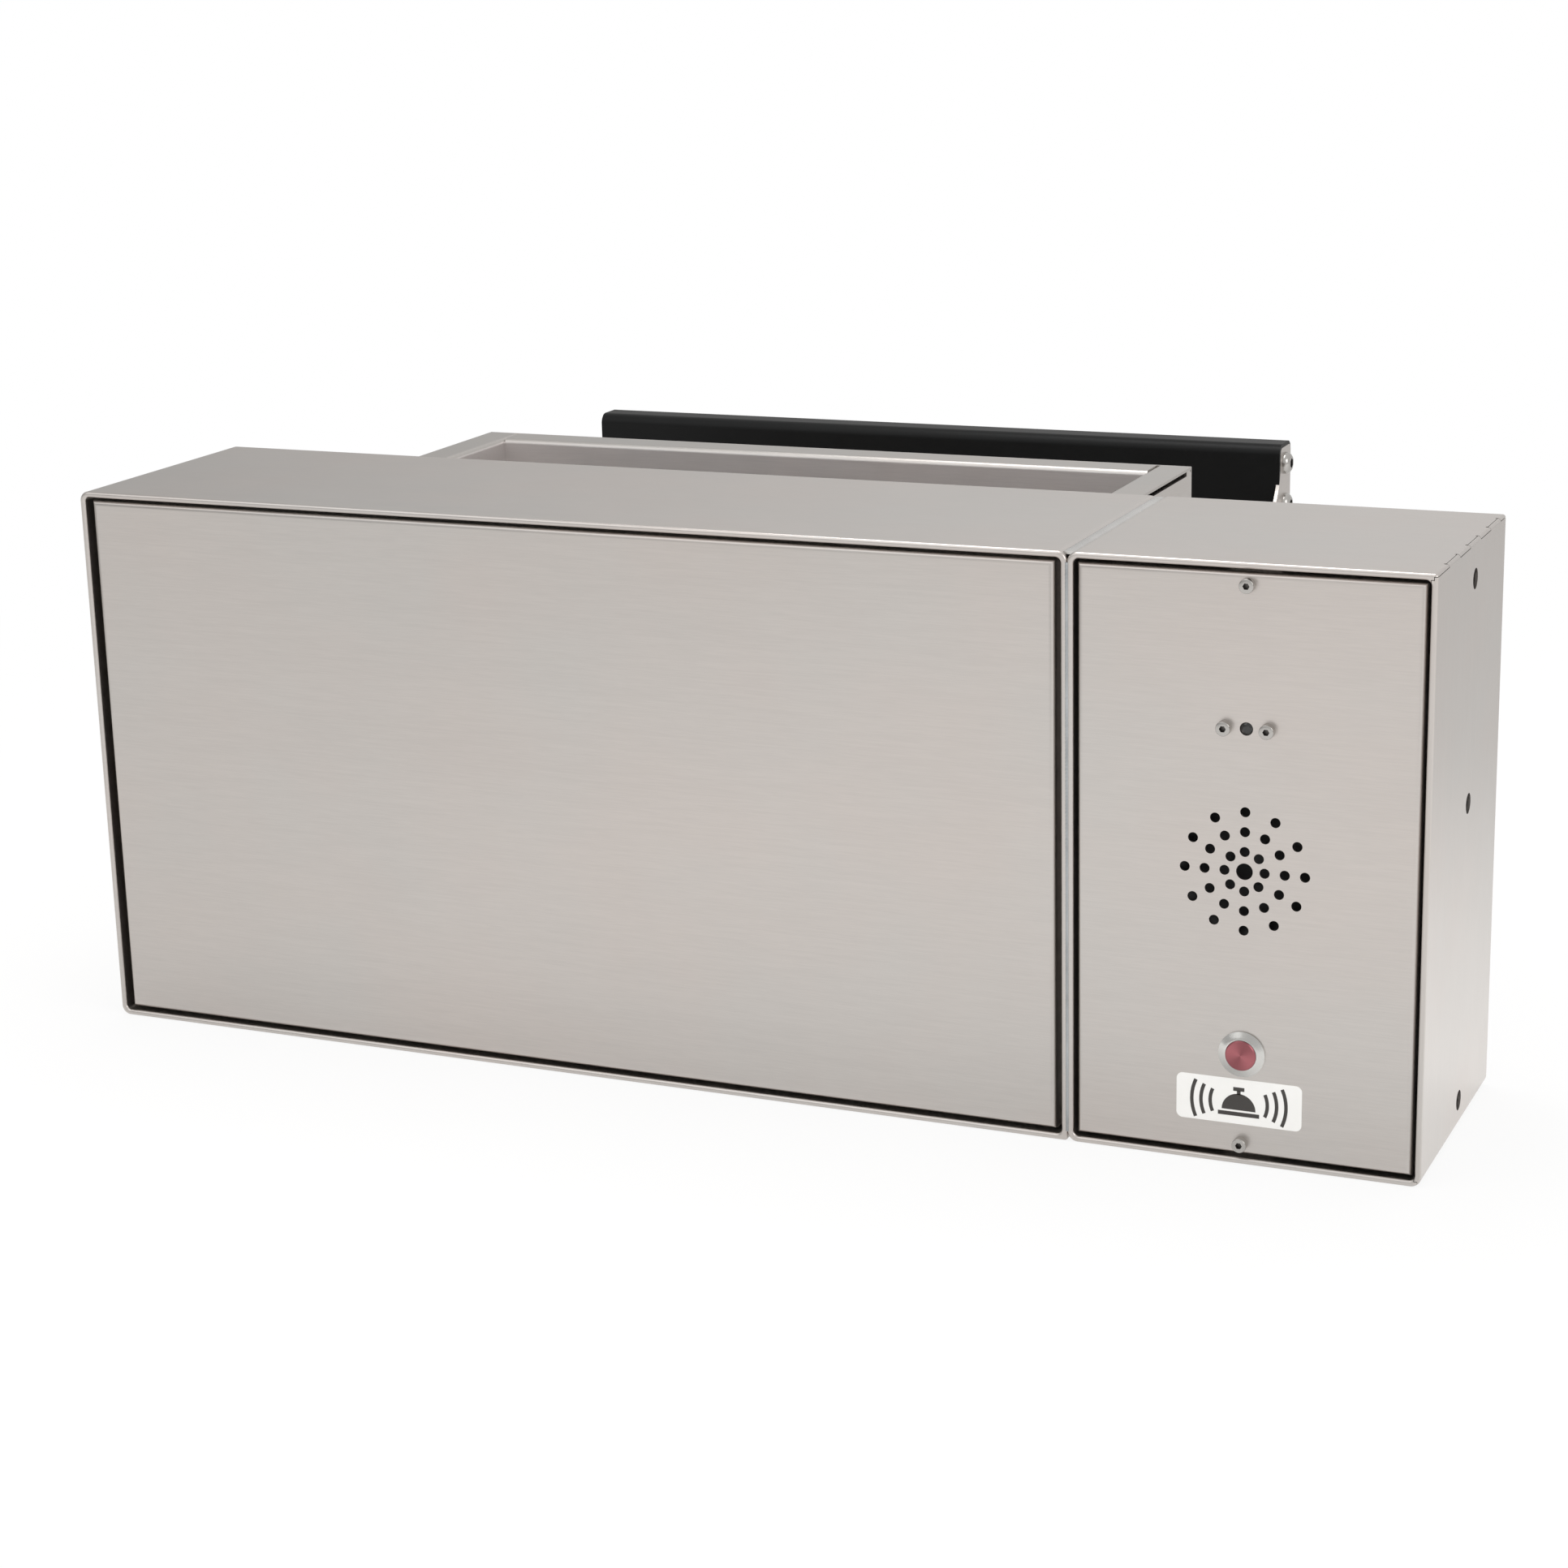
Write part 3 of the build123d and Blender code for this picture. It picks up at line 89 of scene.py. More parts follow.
class Grain(Enum):
    """Direction in which a sheet is brushed."""

    ACROSS = "x"
    DEEP = "y"
    UPRIGHT = "z"


class Facing(Enum):
    """Direction out of a surface, as the turn that brings +Z to it."""

    CUSTOMER = (math.pi / 2, 0.0, 0.0)
    TELLER = (-math.pi / 2, 0.0, 0.0)
    RIGHT = (0.0, math.pi / 2, 0.0)
    LEFT = (0.0, -math.pi / 2, 0.0)


@dataclass(frozen=True)
class Ramp:
    """Level that changes evenly between two values of its input, and stays the same beyond them."""

    start: float
    end: float
    first: float = 0.0
    last: float = 1.0


def grey(level: float) -> Colour:
    """Neutral colour of a level."""
    return (level, level, level, 1.0)


def shades(colour: Sequence[float], share: float) -> tuple[Colour, Colour]:
    """Darker and lighter shade of a colour.

    Args:
        colour: Its red, green and blue.
        share: How much darker and lighter, as a share of it.

    Returns:
        The two shades.
    """
    dark = [part * (1 - share) for part in colour]
    light = [min(1.0, part * (1 + share)) for part in colour]
    return (*dark, 1.0), (*light, 1.0)


def linked(name: str, data: bpy.types.ID) -> bpy.types.Object:
    """Put a mesh, lamp or camera in the scene.

    Args:
        name: Name of its object.
        data: The mesh, lamp or camera.

    Returns:
        The object.
    """
    made = bpy.data.objects.new(name, data)
    bpy.context.scene.collection.objects.link(made)
    return made


# ---------------------------------------------------------------- shader drawing


class Board:
    """Small drawing board for the shader nodes of a material or of the world."""

    def __init__(self, tree: bpy.types.NodeTree, output: str) -> None:
        """Clear a tree and give it an output and coordinates.

        Args:
            tree: The tree to draw on.
            output: Type name of its output node.
        """
        self.tree = tree
        self.tree.nodes.clear()
        self.output = self.node(output)
        self.coordinates = self.node("ShaderNodeTexCoord").outputs
        self.place = self.coordinates["Object"]

    def node(self, kind: str, **settings: Any) -> bpy.types.Node:
        """Add a node.

        Args:
            kind: The node's type name.
            settings: Attributes to set on it.

        Returns:
            The new node.
        """
        made = self.tree.nodes.new(kind)
        for key, value in settings.items():
            setattr(made, key, value)
        return made

    def feed(self, socket: bpy.types.NodeSocket, value: Any) -> None:
        """Link a socket to a value's socket, or set it to a plain value.

        Args:
            socket: The input to feed.
            value: An output socket or a plain value.
        """
        if isinstance(value, bpy.types.NodeSocket):
            self.tree.links.new(value, socket)
        else:
            socket.default_value = value

    def principled(self, **inputs: Any) -> None:
        """Show the principled surface shader.

        Args:
            inputs: Socket names, with underscores for spaces, and their values.
        """
        shader = self.node("ShaderNodeBsdfPrincipled")
        for key, value in inputs.items():
            self.feed(shader.inputs[key.replace("_", " ")], value)
        self.show(shader)

    def show(self, shader: bpy.types.Node) -> None:
        """Join a shader to the output's surface."""
        self.tree.links.new(shader.outputs[0], self.output.inputs["Surface"])

    def show_mix(self, factor: Any, first: bpy.types.Node, second: bpy.types.Node) -> None:
        """Show a mix of two shaders.

        Args:
            factor: Share of the second.
            first: First shader.
            second: Second shader.
        """
        blend = self.node("ShaderNodeMixShader")
        for socket, value in zip(blend.inputs, (factor, first.outputs[0], second.outputs[0])):
            self.feed(socket, value)
        self.show(blend)

    def straight(self, ray: bpy.types.Node) -> Any:
        """One where a ray comes from the camera, straight or through glass, and zero elsewhere."""
        return self.math("MAXIMUM", ray.outputs["Is Camera Ray"], ray.outputs["Is Transmission Ray"])

    def split(self, vector: Any) -> Any:
        """Part a vector.

        Args:
            vector: The vector.

        Returns:
            Its X, Y and Z sockets.
        """
        made = self.node("ShaderNodeSeparateXYZ")
        self.feed(made.inputs[0], vector)
        return made.outputs

    def mapped(self, scale: Sequence[float]) -> Any:
        """Scale the object's coordinates.

        Args:
            scale: Factor along each axis.

        Returns:
            The scaled coordinates.
        """
        mapping = self.node("ShaderNodeMapping")
        self.feed(mapping.inputs["Vector"], self.place)
        mapping.inputs["Scale"].default_value = tuple(scale)
        return mapping.outputs[0]

    def noise(self, place: Any, scale: float, detail: float, roughness: float) -> Any:
        """Add a noise texture.

        Args:
            place: Its coordinates.
            scale: Its scale.
            detail: Its detail.
            roughness: Its roughness.

        Returns:
            Its grey value, about 0.5.
        """
        texture = self.node("ShaderNodeTexNoise")
        self.feed(texture.inputs["Vector"], place)
        texture.inputs["Scale"].default_value = scale
        texture.inputs["Detail"].default_value = detail
        texture.inputs["Roughness"].default_value = roughness
        return texture.outputs["Fac"]

    def math(self, operation: str, a: Any, b: Any = 0.0, c: Any = 0.0) -> Any:
        """Add a math node.

        Args:
            operation: The operation's name.
            a: First value.
            b: Second value.
            c: Third value.

        Returns:
            The result.
        """
        made = self.node("ShaderNodeMath", operation=operation)
        for socket, value in zip(made.inputs, (a, b, c)):
            self.feed(socket, value)
        return made.outputs[0]

    def ramped(self, value: Any, ramp: Ramp) -> Any:
        """Map a value by a ramp.

        Args:
            value: The value.
            ramp: The ramp.

        Returns:
            The mapped value.
        """
        made = self.node("ShaderNodeMapRange")
        keys = ("Value", "From Min", "From Max", "To Min", "To Max")
        for key, item in zip(keys, (value, ramp.start, ramp.end, ramp.first, ramp.last)):
            self.feed(made.inputs[key], item)
        return made.outputs[0]

    def blended(self, parts: Iterable[tuple[Any, float]]) -> Any:
        """Weighted sum of values.

        Args:
            parts: Pairs of a value and its weight.

        Returns:
            The sum.
        """
        total: Any = 0.0
        for value, weight in parts:
            total = self.math("MULTIPLY_ADD", value, weight, total)
        return total

    def varied(self, middle: float, noise: Any, reach: float) -> Any:
        """Vary a level round its middle.

        Args:
            middle: The level's middle.
            noise: A noise's grey value, about 0.5.
            reach: How far the level goes from a noise of 0 to one of 1.

        Returns:
            The varied level.
        """
        return self.math("ADD", middle - reach / 2, self.math("MULTIPLY", noise, reach))

    def grey(self, level: Any) -> Any:
        """Grey colour of a varying level.

        Args:
            level: The level.

        Returns:
            The colour.
        """
        made = self.node("ShaderNodeCombineColor")
        for socket in made.inputs[:3]:
            self.feed(socket, level)
        return made.outputs[0]

    def mix(self, factor: Any, first: Any, second: Any, blend: str = "MIX") -> Any:
        """Mix two colours.

        Args:
            factor: Share of the second.
            first: First colour.
            second: Second colour.
            blend: Blend mode.

        Returns:
            The mixed colour.
        """
        made = self.node("ShaderNodeMix", data_type="RGBA", blend_type=blend)
        self.feed(made.inputs["Factor"], factor)
        self.feed(made.inputs["A"], first)
        self.feed(made.inputs["B"], second)
        return made.outputs["Result"]

    def bump(self, height: Any, distance: float) -> Any:
        """Turn a height into a normal.

        Args:
            height: The height, 0 to 1.
            distance: Real height of 1, in metres.

        Returns:
            The bumped normal.
        """
        made = self.node("ShaderNodeBump")
        made.inputs["Strength"].default_value = 1.0
        made.inputs["Distance"].default_value = distance
        self.feed(made.inputs["Height"], height)
        return made.outputs[0]

    def radius_from(self, centre: Point, axis: str) -> tuple[Any, Any]:
        """Polar coordinates round a line.

        Args:
            centre: A point on the line.
            axis: The line's direction, x, y or z.

        Returns:
            The distance from the line and the angle round it.
        """
        moved = self.node("ShaderNodeVectorMath", operation="SUBTRACT")
        self.feed(moved.inputs[0], self.place)
        moved.inputs[1].default_value = centre
        parts = self.split(moved.outputs[0])
        first, second = [parts[letter] for letter in "XYZ" if letter != axis.upper()]
        square = self.math("ADD", self.math("MULTIPLY", first, first), self.math("MULTIPLY", second, second))
        return self.math("SQRT", square), self.math("ARCTAN2", second, first)


class Shader(Board):
    """Drawing board for one material."""

    def __init__(self, name: str) -> None:
        """Start an empty material.

        Args:
            name: The material's name.
        """
        self.material = bpy.data.materials.new(name)
        self.material.use_nodes = True
        super().__init__(self.material.node_tree, "ShaderNodeOutputMaterial")


# ---------------------------------------------------------------- finishes


@dataclass(frozen=True)
class Brushing:
    """One size of brush marks: their scale along and over the grain, and their share of it."""

    along: float
    over: float
    detail: float
    roughness: float
    share: float


@dataclass(frozen=True)
class BrushedSheet:
    """Stainless sheet with a fine short grain, faint bands and cloudy warm and cool patches."""

    name: str
    grain: Grain
    warm: tuple[float, float, float] = (0.590, 0.548, 0.519)
    cool: tuple[float, float, float] = (0.580, 0.552, 0.527)
    roughness: float = 0.33
    streak: float = 0.030
    depth: float = 0.00001
    brushings: tuple[Brushing, ...] = (
        Brushing(80, 2600, 2, 0.6, 0.5),
        Brushing(26, 800, 3, 0.6, 0.40),
        Brushing(1.5, 90, 2, 0.5, 0.10),
    )
    patch_scale: float = 9.0
    smudge_scale: float = 24.0
    patch_edge: Ramp = Ramp(0.36, 0.64)
    grain_low: float = 0.38
    grain_high: float = 0.62
    grain_gloss: float = 0.09
    smudge_gloss: float = 0.07
    # Height above which a lighter sheet's painted light is taken back off, or None.
    rim: float | None = None
    rim_blend: float = 0.0003
    unpainted_rim_tint: Colour = (0.70, 0.70, 0.68, 1)
    rim_smoother: float = 0.16

    def brushed(self, shader: Shader, marks: Brushing) -> Any:
        """Brush marks drawn out along the grain.

        Args:
            shader: The drawing board.
            marks: Their size.

        Returns:
            Their grey value.
        """
        scale = [marks.over, marks.over, marks.over]
        scale["xyz".index(self.grain.value)] = marks.along
        return shader.noise(shader.mapped(scale), 1.0, marks.detail, marks.roughness)

    def build(self) -> bpy.types.Material:
        """Material of the sheet."""
        shader = Shader(self.name)
        grain = shader.blended([(self.brushed(shader, marks), marks.share) for marks in self.brushings])
        patch = shader.noise(shader.place, self.patch_scale, 3, 0.5)
        smudge = shader.noise(shader.place, self.smudge_scale, 4, 0.6)
        base = shader.mix(shader.ramped(patch, self.patch_edge), (*self.warm, 1), (*self.cool, 1))
        streaks = Ramp(self.grain_low, self.grain_high, 1 - self.streak, 1 + self.streak)
        colour = shader.mix(1.0, base, shader.grey(shader.ramped(grain, streaks)), "MULTIPLY")
        uneven = shader.blended(((grain, self.grain_gloss), (smudge, self.smudge_gloss)))
        middle = self.roughness - (self.grain_gloss + self.smudge_gloss) / 2
        rough = shader.math("ADD", middle, uneven)
        normal = shader.bump(grain, self.depth)
        if self.rim is not None:
            colour, rough = self.rimmed(shader, colour, rough)
        shader.principled(Base_Color=colour, Metallic=1.0, Roughness=rough, Normal=normal)
        return shader.material

    def rimmed(self, shader: Shader, colour: Any, rough: Any) -> tuple[Any, Any]:
        """Make what lies above the rim's height as dark and smooth as the outer sheets, so that the lighter
        colour, painted light inside the tray, stays below the rim.

        Args:
            shader: The drawing board.
            colour: Colour below the rim.
            rough: Roughness below the rim.

        Returns:
            The colour and the roughness everywhere.
        """
        height = shader.split(shader.place)[2]
        above = shader.ramped(height, Ramp(self.rim - self.rim_blend, self.rim + self.rim_blend))
        darker = shader.mix(1.0, colour, self.unpainted_rim_tint, "MULTIPLY")
        smoother = shader.math("MULTIPLY_ADD", above, -self.rim_smoother, rough)
        return shader.mix(above, colour, darker), smoother


@dataclass(frozen=True)
class PlainMetal:
    """Machined, plated or anodised metal with a fine even tooth."""

    name: str
    colour: tuple[float, float, float]
    roughness: float
    mottle: float = 0.08
    scale: float = 900.0
    depth: float = 0.000006
    cloud_scale: float = 35.0
    cloud_edge: Ramp = Ramp(0.3, 0.7)
    gloss: float = 0.08

    def build(self) -> bpy.types.Material:
        """Material of the metal."""
        shader = Shader(self.name)
        tooth = shader.noise(shader.place, self.scale, 3, 0.6)
        broad = shader.noise(shader.place, self.cloud_scale, 3, 0.6)
        colour = shader.mix(shader.ramped(broad, self.cloud_edge), *shades(self.colour, self.mottle))
        rough = shader.varied(self.roughness, tooth, self.gloss)
        normal = shader.bump(tooth, self.depth)
        shader.principled(Base_Color=colour, Metallic=1.0, Roughness=rough, Normal=normal)
        return shader.material


@dataclass(frozen=True)
class TurnedMetal:
    """Lathe-turned face, with rings round its axis and a painted sheen in a bow round it, in place of the sheen
    that the rings spread.
    """

    name: str
    centre: Point
    axis: str
    colour: tuple[float, float, float]
    roughness: float = 0.28
    pitch: float = 0.00022
    depth: float = 0.00001
    painted_sheen_bow: float = 0.16
    bow_lobes: float = 2.0
    bow_lean: float = 0.9
    ring_share: float = 0.35
    scale: float = 600.0
    gloss: float = 0.06

    def build(self) -> bpy.types.Material:
        """Material of the turned face."""
        shader = Shader(self.name)
        radius, angle = shader.radius_from(self.centre, self.axis)
        rings = shader.math("SINE", shader.math("MULTIPLY", radius, 2 * math.pi / self.pitch))
        wander = shader.noise(shader.place, self.scale, 2, 0.5)
        height = shader.math("ADD", shader.math("MULTIPLY", rings, self.ring_share), wander)
        # Painted sheen: the colour is made lighter and darker in lobes round the axis, a painted highlight in a
        # bow.
        lobes = shader.math("MULTIPLY", angle, self.bow_lobes)
        sweep = shader.math("COSINE", shader.math("ADD", lobes, self.bow_lean))
        sheen = shader.ramped(sweep, Ramp(-1, 1, 1 - self.painted_sheen_bow, 1 + self.painted_sheen_bow))
        colour = shader.mix(1.0, (*self.colour, 1), shader.grey(sheen), "MULTIPLY")
        rough = shader.varied(self.roughness, wander, self.gloss)
        normal = shader.bump(height, self.depth)
        shader.principled(Base_Color=colour, Metallic=1.0, Roughness=rough, Normal=normal)
        return shader.material


@dataclass(frozen=True)
class Moulded:
    """Moulded plastic, rubber or film: a colour with faint variation and a fine skin texture."""

    name: str
    colour: tuple[float, float, float]
    roughness: float
    scale: float = 1400.0
    depth: float = 0.00001
    variation: float = 0.06
    sheen: float = 0.5
    cloud_scale: float = 60.0
    gloss: float = 0.1

    def build(self) -> bpy.types.Material:
        """Material of the moulding."""
        shader = Shader(self.name)
        skin = shader.noise(shader.place, self.scale, 2, 0.6)
        broad = shader.noise(shader.place, self.cloud_scale, 2, 0.5)
        colour = shader.mix(broad, *shades(self.colour, self.variation))
        rough = shader.varied(self.roughness, skin, self.gloss)
        normal = shader.bump(skin, self.depth)
        shader.principled(Base_Color=colour, Roughness=rough, Specular_IOR_Level=self.sheen, Normal=normal)
        return shader.material


@dataclass(frozen=True)
class LensGlass:
    """Dark glossy window of the camera."""

    name: str
    dark: float = 0.004
    light: float = 0.012
    haze_scale: float = 300.0
    haze: Ramp = Ramp(0.3, 0.7, 0.05, 0.12)
    index: float = 1.5
    coat: float = 0.5

    def build(self) -> bpy.types.Material:
        """Material of the window."""
        shader = Shader(self.name)
        haze = shader.noise(shader.place, self.haze_scale, 2, 0.5)
        rough = shader.ramped(haze, self.haze)
        tone = shader.mix(haze, grey(self.dark), grey(self.light))
        shader.principled(Base_Color=tone, Roughness=rough, IOR=self.index, Coat_Weight=self.coat)
        return shader.material


@dataclass(frozen=True)
class CircuitBoard:
    """Green laminate with fine copper tracks under the lacquer."""

    name: str
    dark: Colour = (0.02, 0.16, 0.06, 1)
    light: Colour = (0.03, 0.20, 0.08, 1)
    track: Colour = (0.07, 0.32, 0.12, 1)
    track_width: float = 0.03
    track_height: float = 0.00003
    scale: Point = (0, 90, 90)
    roughness: float = 0.3

    def build(self) -> bpy.types.Material:
        """Material of the board."""
        shader = Shader(self.name)
        tracks = shader.node("ShaderNodeTexBrick")
        shader.feed(tracks.inputs["Vector"], shader.mapped(self.scale))
        tracks.inputs["Color1"].default_value = self.dark
        tracks.inputs["Color2"].default_value = self.light
        tracks.inputs["Mortar"].default_value = self.track
        tracks.inputs["Mortar Size"].default_value = self.track_width
        normal = shader.bump(tracks.outputs["Fac"], self.track_height)
        shader.principled(Base_Color=tracks.outputs["Color"], Roughness=self.roughness, Normal=normal)
        return shader.material


# ---------------------------------------------------------------- geometry node drawing


class Program:
    """A geometry node tree with named inputs, run once on a mesh and turned into a plain mesh."""

    ACCENT = "accent"

    def __init__(self, name: str) -> None:
        """Start an empty tree with a geometry input and output.

        Args:
            name: The tree's name.
        """
        self.tree = bpy.data.node_groups.new(name, "GeometryNodeTree")
        self.tree.interface.new_socket("Geometry", in_out="INPUT", socket_type="NodeSocketGeometry")
        self.tree.interface.new_socket("Geometry", in_out="OUTPUT", socket_type="NodeSocketGeometry")
        self.start = self.tree.nodes.new("NodeGroupInput")
        self.end = self.tree.nodes.new("NodeGroupOutput")

    def value(self, name: str, kind: str = "Float") -> bpy.types.NodeSocket:
        """Add a named input.

        Args:
            name: Its name.
            kind: Its socket kind, such as Float, Int, Vector or Material.

        Returns:
            The output of the input node that carries it.
        """
        self.tree.interface.new_socket(name, in_out="INPUT", socket_type=f"NodeSocket{kind}")
        return self.start.outputs[name]

    def node(self, kind: str, inputs: dict[Any, Any] | None = None, **settings: Any) -> bpy.types.Node:
        """Add a node with its inputs.

        Args:
            kind: The node's type name.
            inputs: Socket names or numbers and their values or links.
            settings: Attributes to set on it.

        Returns:
            The new node.
        """
        made = self.tree.nodes.new(kind)
        for key, item in settings.items():
            setattr(made, key, item)
        for key, item in (inputs or {}).items():
            if isinstance(item, bpy.types.NodeSocket):
                self.tree.links.new(item, made.inputs[key])
            else:
                made.inputs[key].default_value = item
        return made

    def math(self, operation: str, a: Any, b: Any = 0.0) -> Any:
        """Add a math node.

        Args:
            operation: The operation's name.
            a: First value.
            b: Second value.

        Returns:
            The result.
        """
        return self.node("ShaderNodeMath", {0: a, 1: b}, operation=operation).outputs[0]

    def crisp(self, mesh: Any, angle: float) -> Any:
        """Shade a mesh smooth, but keep its sharp edges.

        Args:
            mesh: The mesh.
            angle: Bend in degrees past which an edge stays sharp.

        Returns:
            The shaded mesh.
        """
        soft = self.smooth(mesh)
        bend = self.node("GeometryNodeInputMeshEdgeAngle").outputs["Unsigned Angle"]
        sharp = self.node("FunctionNodeCompare", {0: bend, 1: math.radians(angle)}, operation="GREATER_THAN")
        inputs = {"Geometry": soft, "Selection": sharp.outputs[0], "Shade Smooth": False}
        return self.node("GeometryNodeSetShadeSmooth", inputs, domain="EDGE").outputs[0]

    def smooth(self, mesh: Any) -> Any:
        """Shade a mesh smooth."""
        return self.node("GeometryNodeSetShadeSmooth", {"Geometry": mesh, "Shade Smooth": True}).outputs[0]

    def tube(self, curve: Any, profile: Any, girth: Any = 1.0) -> Any:
        """Smooth tube along a curve, closed at its ends.

        Args:
            curve: The curve.
            profile: Outline of the tube.
            girth: How much to scale the outline.

        Returns:
            The tube.
        """
        inputs = {"Curve": curve, "Profile Curve": profile, "Scale": girth, "Fill Caps": True}
        return self.smooth(self.node("GeometryNodeCurveToMesh", inputs).outputs[0])

    def stood(self, piece: Any, turn: Any) -> Any:
        """Stand a piece on every point that the tree is run on.

        Args:
            piece: The piece.
            turn: Its turn.

        Returns:
            The pieces as instances.
        """
        inputs = {"Points": self.start.outputs["Geometry"], "Instance": piece, "Rotation": turn}
        return self.node("GeometryNodeInstanceOnPoints", inputs).outputs[0]

    def close(self, geometry: Any, material: Any, accent: Any = None) -> None:
        """End the tree with real geometry and its material.

        Args:
            geometry: The last geometry socket.
            material: The material input.
            accent: Material input of the faces marked with the accent attribute, if there are any.
        """
        real = self.node("GeometryNodeRealizeInstances", {0: geometry})
        dressed = self.node("GeometryNodeSetMaterial", {"Geometry": real.outputs[0], "Material": material})
        if accent is not None:
            flag = self.node("GeometryNodeInputNamedAttribute", {"Name": self.ACCENT}, data_type="BOOLEAN")
            marked = flag.outputs["Attribute"]
            inputs = {"Geometry": dressed.outputs[0], "Selection": marked, "Material": accent}
            dressed = self.node("GeometryNodeSetMaterial", inputs)
        self.tree.links.new(dressed.outputs[0], self.end.inputs[0])

    def run(
        self, name: str, points: Iterable[Point], values: dict[str, Any], edges: bool = False
    ) -> bpy.types.Object:
        """Run the tree on points, or on the line through them.

        Args:
            name: Name of the object made.
            points: The places, in metres.
            values: Values of the named inputs.
            edges: True to join the points in a line.

        Returns:
            A plain mesh object at the origin.
        """
        places = list(points)
        source = bpy.data.meshes.new(f"{name}_places")
        links = [(n, n + 1) for n in range(len(places) - 1)] if edges else []
        source.from_pydata(places, links, [])
        carrier = linked(f"{name}_carrier", source)
        modifier = carrier.modifiers.new("program", "NODES")
        modifier.node_group = self.tree
        for item in self.tree.interface.items_tree:
            if item.in_out == "INPUT" and item.name in values:
                modifier[item.identifier] = values[item.name]
        graph = bpy.context.evaluated_depsgraph_get()
        graph.update()
        made = bpy.data.meshes.new_from_object(carrier.evaluated_get(graph), depsgraph=graph)
        bpy.data.objects.remove(carrier)
        made.name = name
        if self.ACCENT in made.attributes:
            made.attributes.remove(made.attributes[self.ACCENT])
        return linked(name, made)


class HeadForm(Enum):
    """Side profile of a screw head: share of the height gained and share of the radius left, step by step."""

    CAP = ((0.86, 1.0), (0.08, 0.985), (0.04, 0.955), (0.02, 0.91))
    BUTTON = ((0.22, 1.0), (0.30, 0.94), (0.27, 0.82), (0.21, 0.62))


class ScrewProgram(Program):
    """Socket screw heads at points: a round head with an eased rim and a hexagon socket with painted shade
    inside.
    """

    SIDES = 36
    SHARP = 32

    def __init__(self, form: HeadForm) -> None:
        """Draw the tree.

        Args:
            form: The head's profile.
        """
        super().__init__(f"socket_screws_{form.name.lower()}")
        radius = self.value("Head Radius")
        height = self.value("Head Height")
        socket = self.value("Socket Radius")
        deep = self.value("Socket Depth")
        turn = self.value("Turn", "Vector")
        material = self.value("Material", "Material")
        accent = self.value("Socket Shade Material", "Material")
        disc = self.node("GeometryNodeMeshCircle", {"Vertices": self.SIDES, "Radius": radius}, fill_type="NGON")
        body = disc.outputs[0]
        top: Any = None
        before = 1.0
        for rise, share in form.value:
            body, top = self.raised(body, top, self.math("MULTIPLY", height, rise), share / before)
            before = share
        rim = self.math("MULTIPLY", radius, before)
        body, top = self.raised(body, top, 0.0, self.math("DIVIDE", socket, rim))
        body = self.hexagon(body, top)
        sunk = self.math("MULTIPLY", deep, -1.0)
        inputs = {"Mesh": body, "Selection": top, "Offset Scale": sunk}
        pit = self.node("GeometryNodeExtrudeMesh", inputs, mode="FACES")
        # The socket's walls and floor are marked for the dark second material: painted shade in the recess.
        faces = {0: pit.outputs["Top"], 1: pit.outputs["Side"]}
        inside = self.node("FunctionNodeBooleanMath", faces, operation="OR")
        marked = self.node(
            "GeometryNodeStoreNamedAttribute",
            {"Geometry": pit.outputs["Mesh"], "Name": self.ACCENT, "Value": inside.outputs[0]},
            data_type="BOOLEAN",
            domain="FACE",
        )
        self.close(self.stood(self.crisp(marked.outputs[0], self.SHARP), turn), material, accent)

    def raised(self, mesh: Any, top: Any, rise: Any, scale: Any) -> tuple[Any, Any]:
        """Pull the top face up and scale it.

        Args:
            mesh: The mesh so far.
            top: Selection of the top face, or None for all.
            rise: How far to pull it.
            scale: How much to scale it.

        Returns:
            The new mesh and the selection of its top.
        """
        inputs = {"Mesh": mesh, "Offset Scale": rise}
        if top is not None:
            inputs["Selection"] = top
        pulled = self.node("GeometryNodeExtrudeMesh", inputs, mode="FACES")
        sized = self.node(
            "GeometryNodeScaleElements",
            {"Geometry": pulled.outputs["Mesh"], "Selection": pulled.outputs["Top"], "Scale": scale},
        )
        return sized.outputs[0], pulled.outputs["Top"]

    def hexagon(self, mesh: Any, top: Any) -> Any:
        """Bend the round top face's outline into a hexagon.

        Args:
            mesh: The mesh so far.
            top: Selection of the top face.

        Returns:
            The new mesh.
        """
        place = self.node("GeometryNodeInputPosition").outputs[0]
        split = self.node("ShaderNodeSeparateXYZ", {0: place})
        angle = self.math("ARCTAN2", split.outputs[1], split.outputs[0])
        sixth = math.pi / 3
        local = self.math("SUBTRACT", self.math("FLOORED_MODULO", angle, sixth), sixth / 2)
        ratio = self.math("DIVIDE", math.cos(sixth / 2), self.math("COSINE", local))
        joined = self.node("ShaderNodeCombineXYZ", {0: self.math("MULTIPLY", split.outputs[0], ratio)})
        self.tree.links.new(self.math("MULTIPLY", split.outputs[1], ratio), joined.inputs[1])
        self.tree.links.new(split.outputs[2], joined.inputs[2])
        moved = self.node(
            "GeometryNodeSetPosition", {"Geometry": mesh, "Selection": top, "Position": joined.outputs[0]}
        )
        return moved.outputs[0]


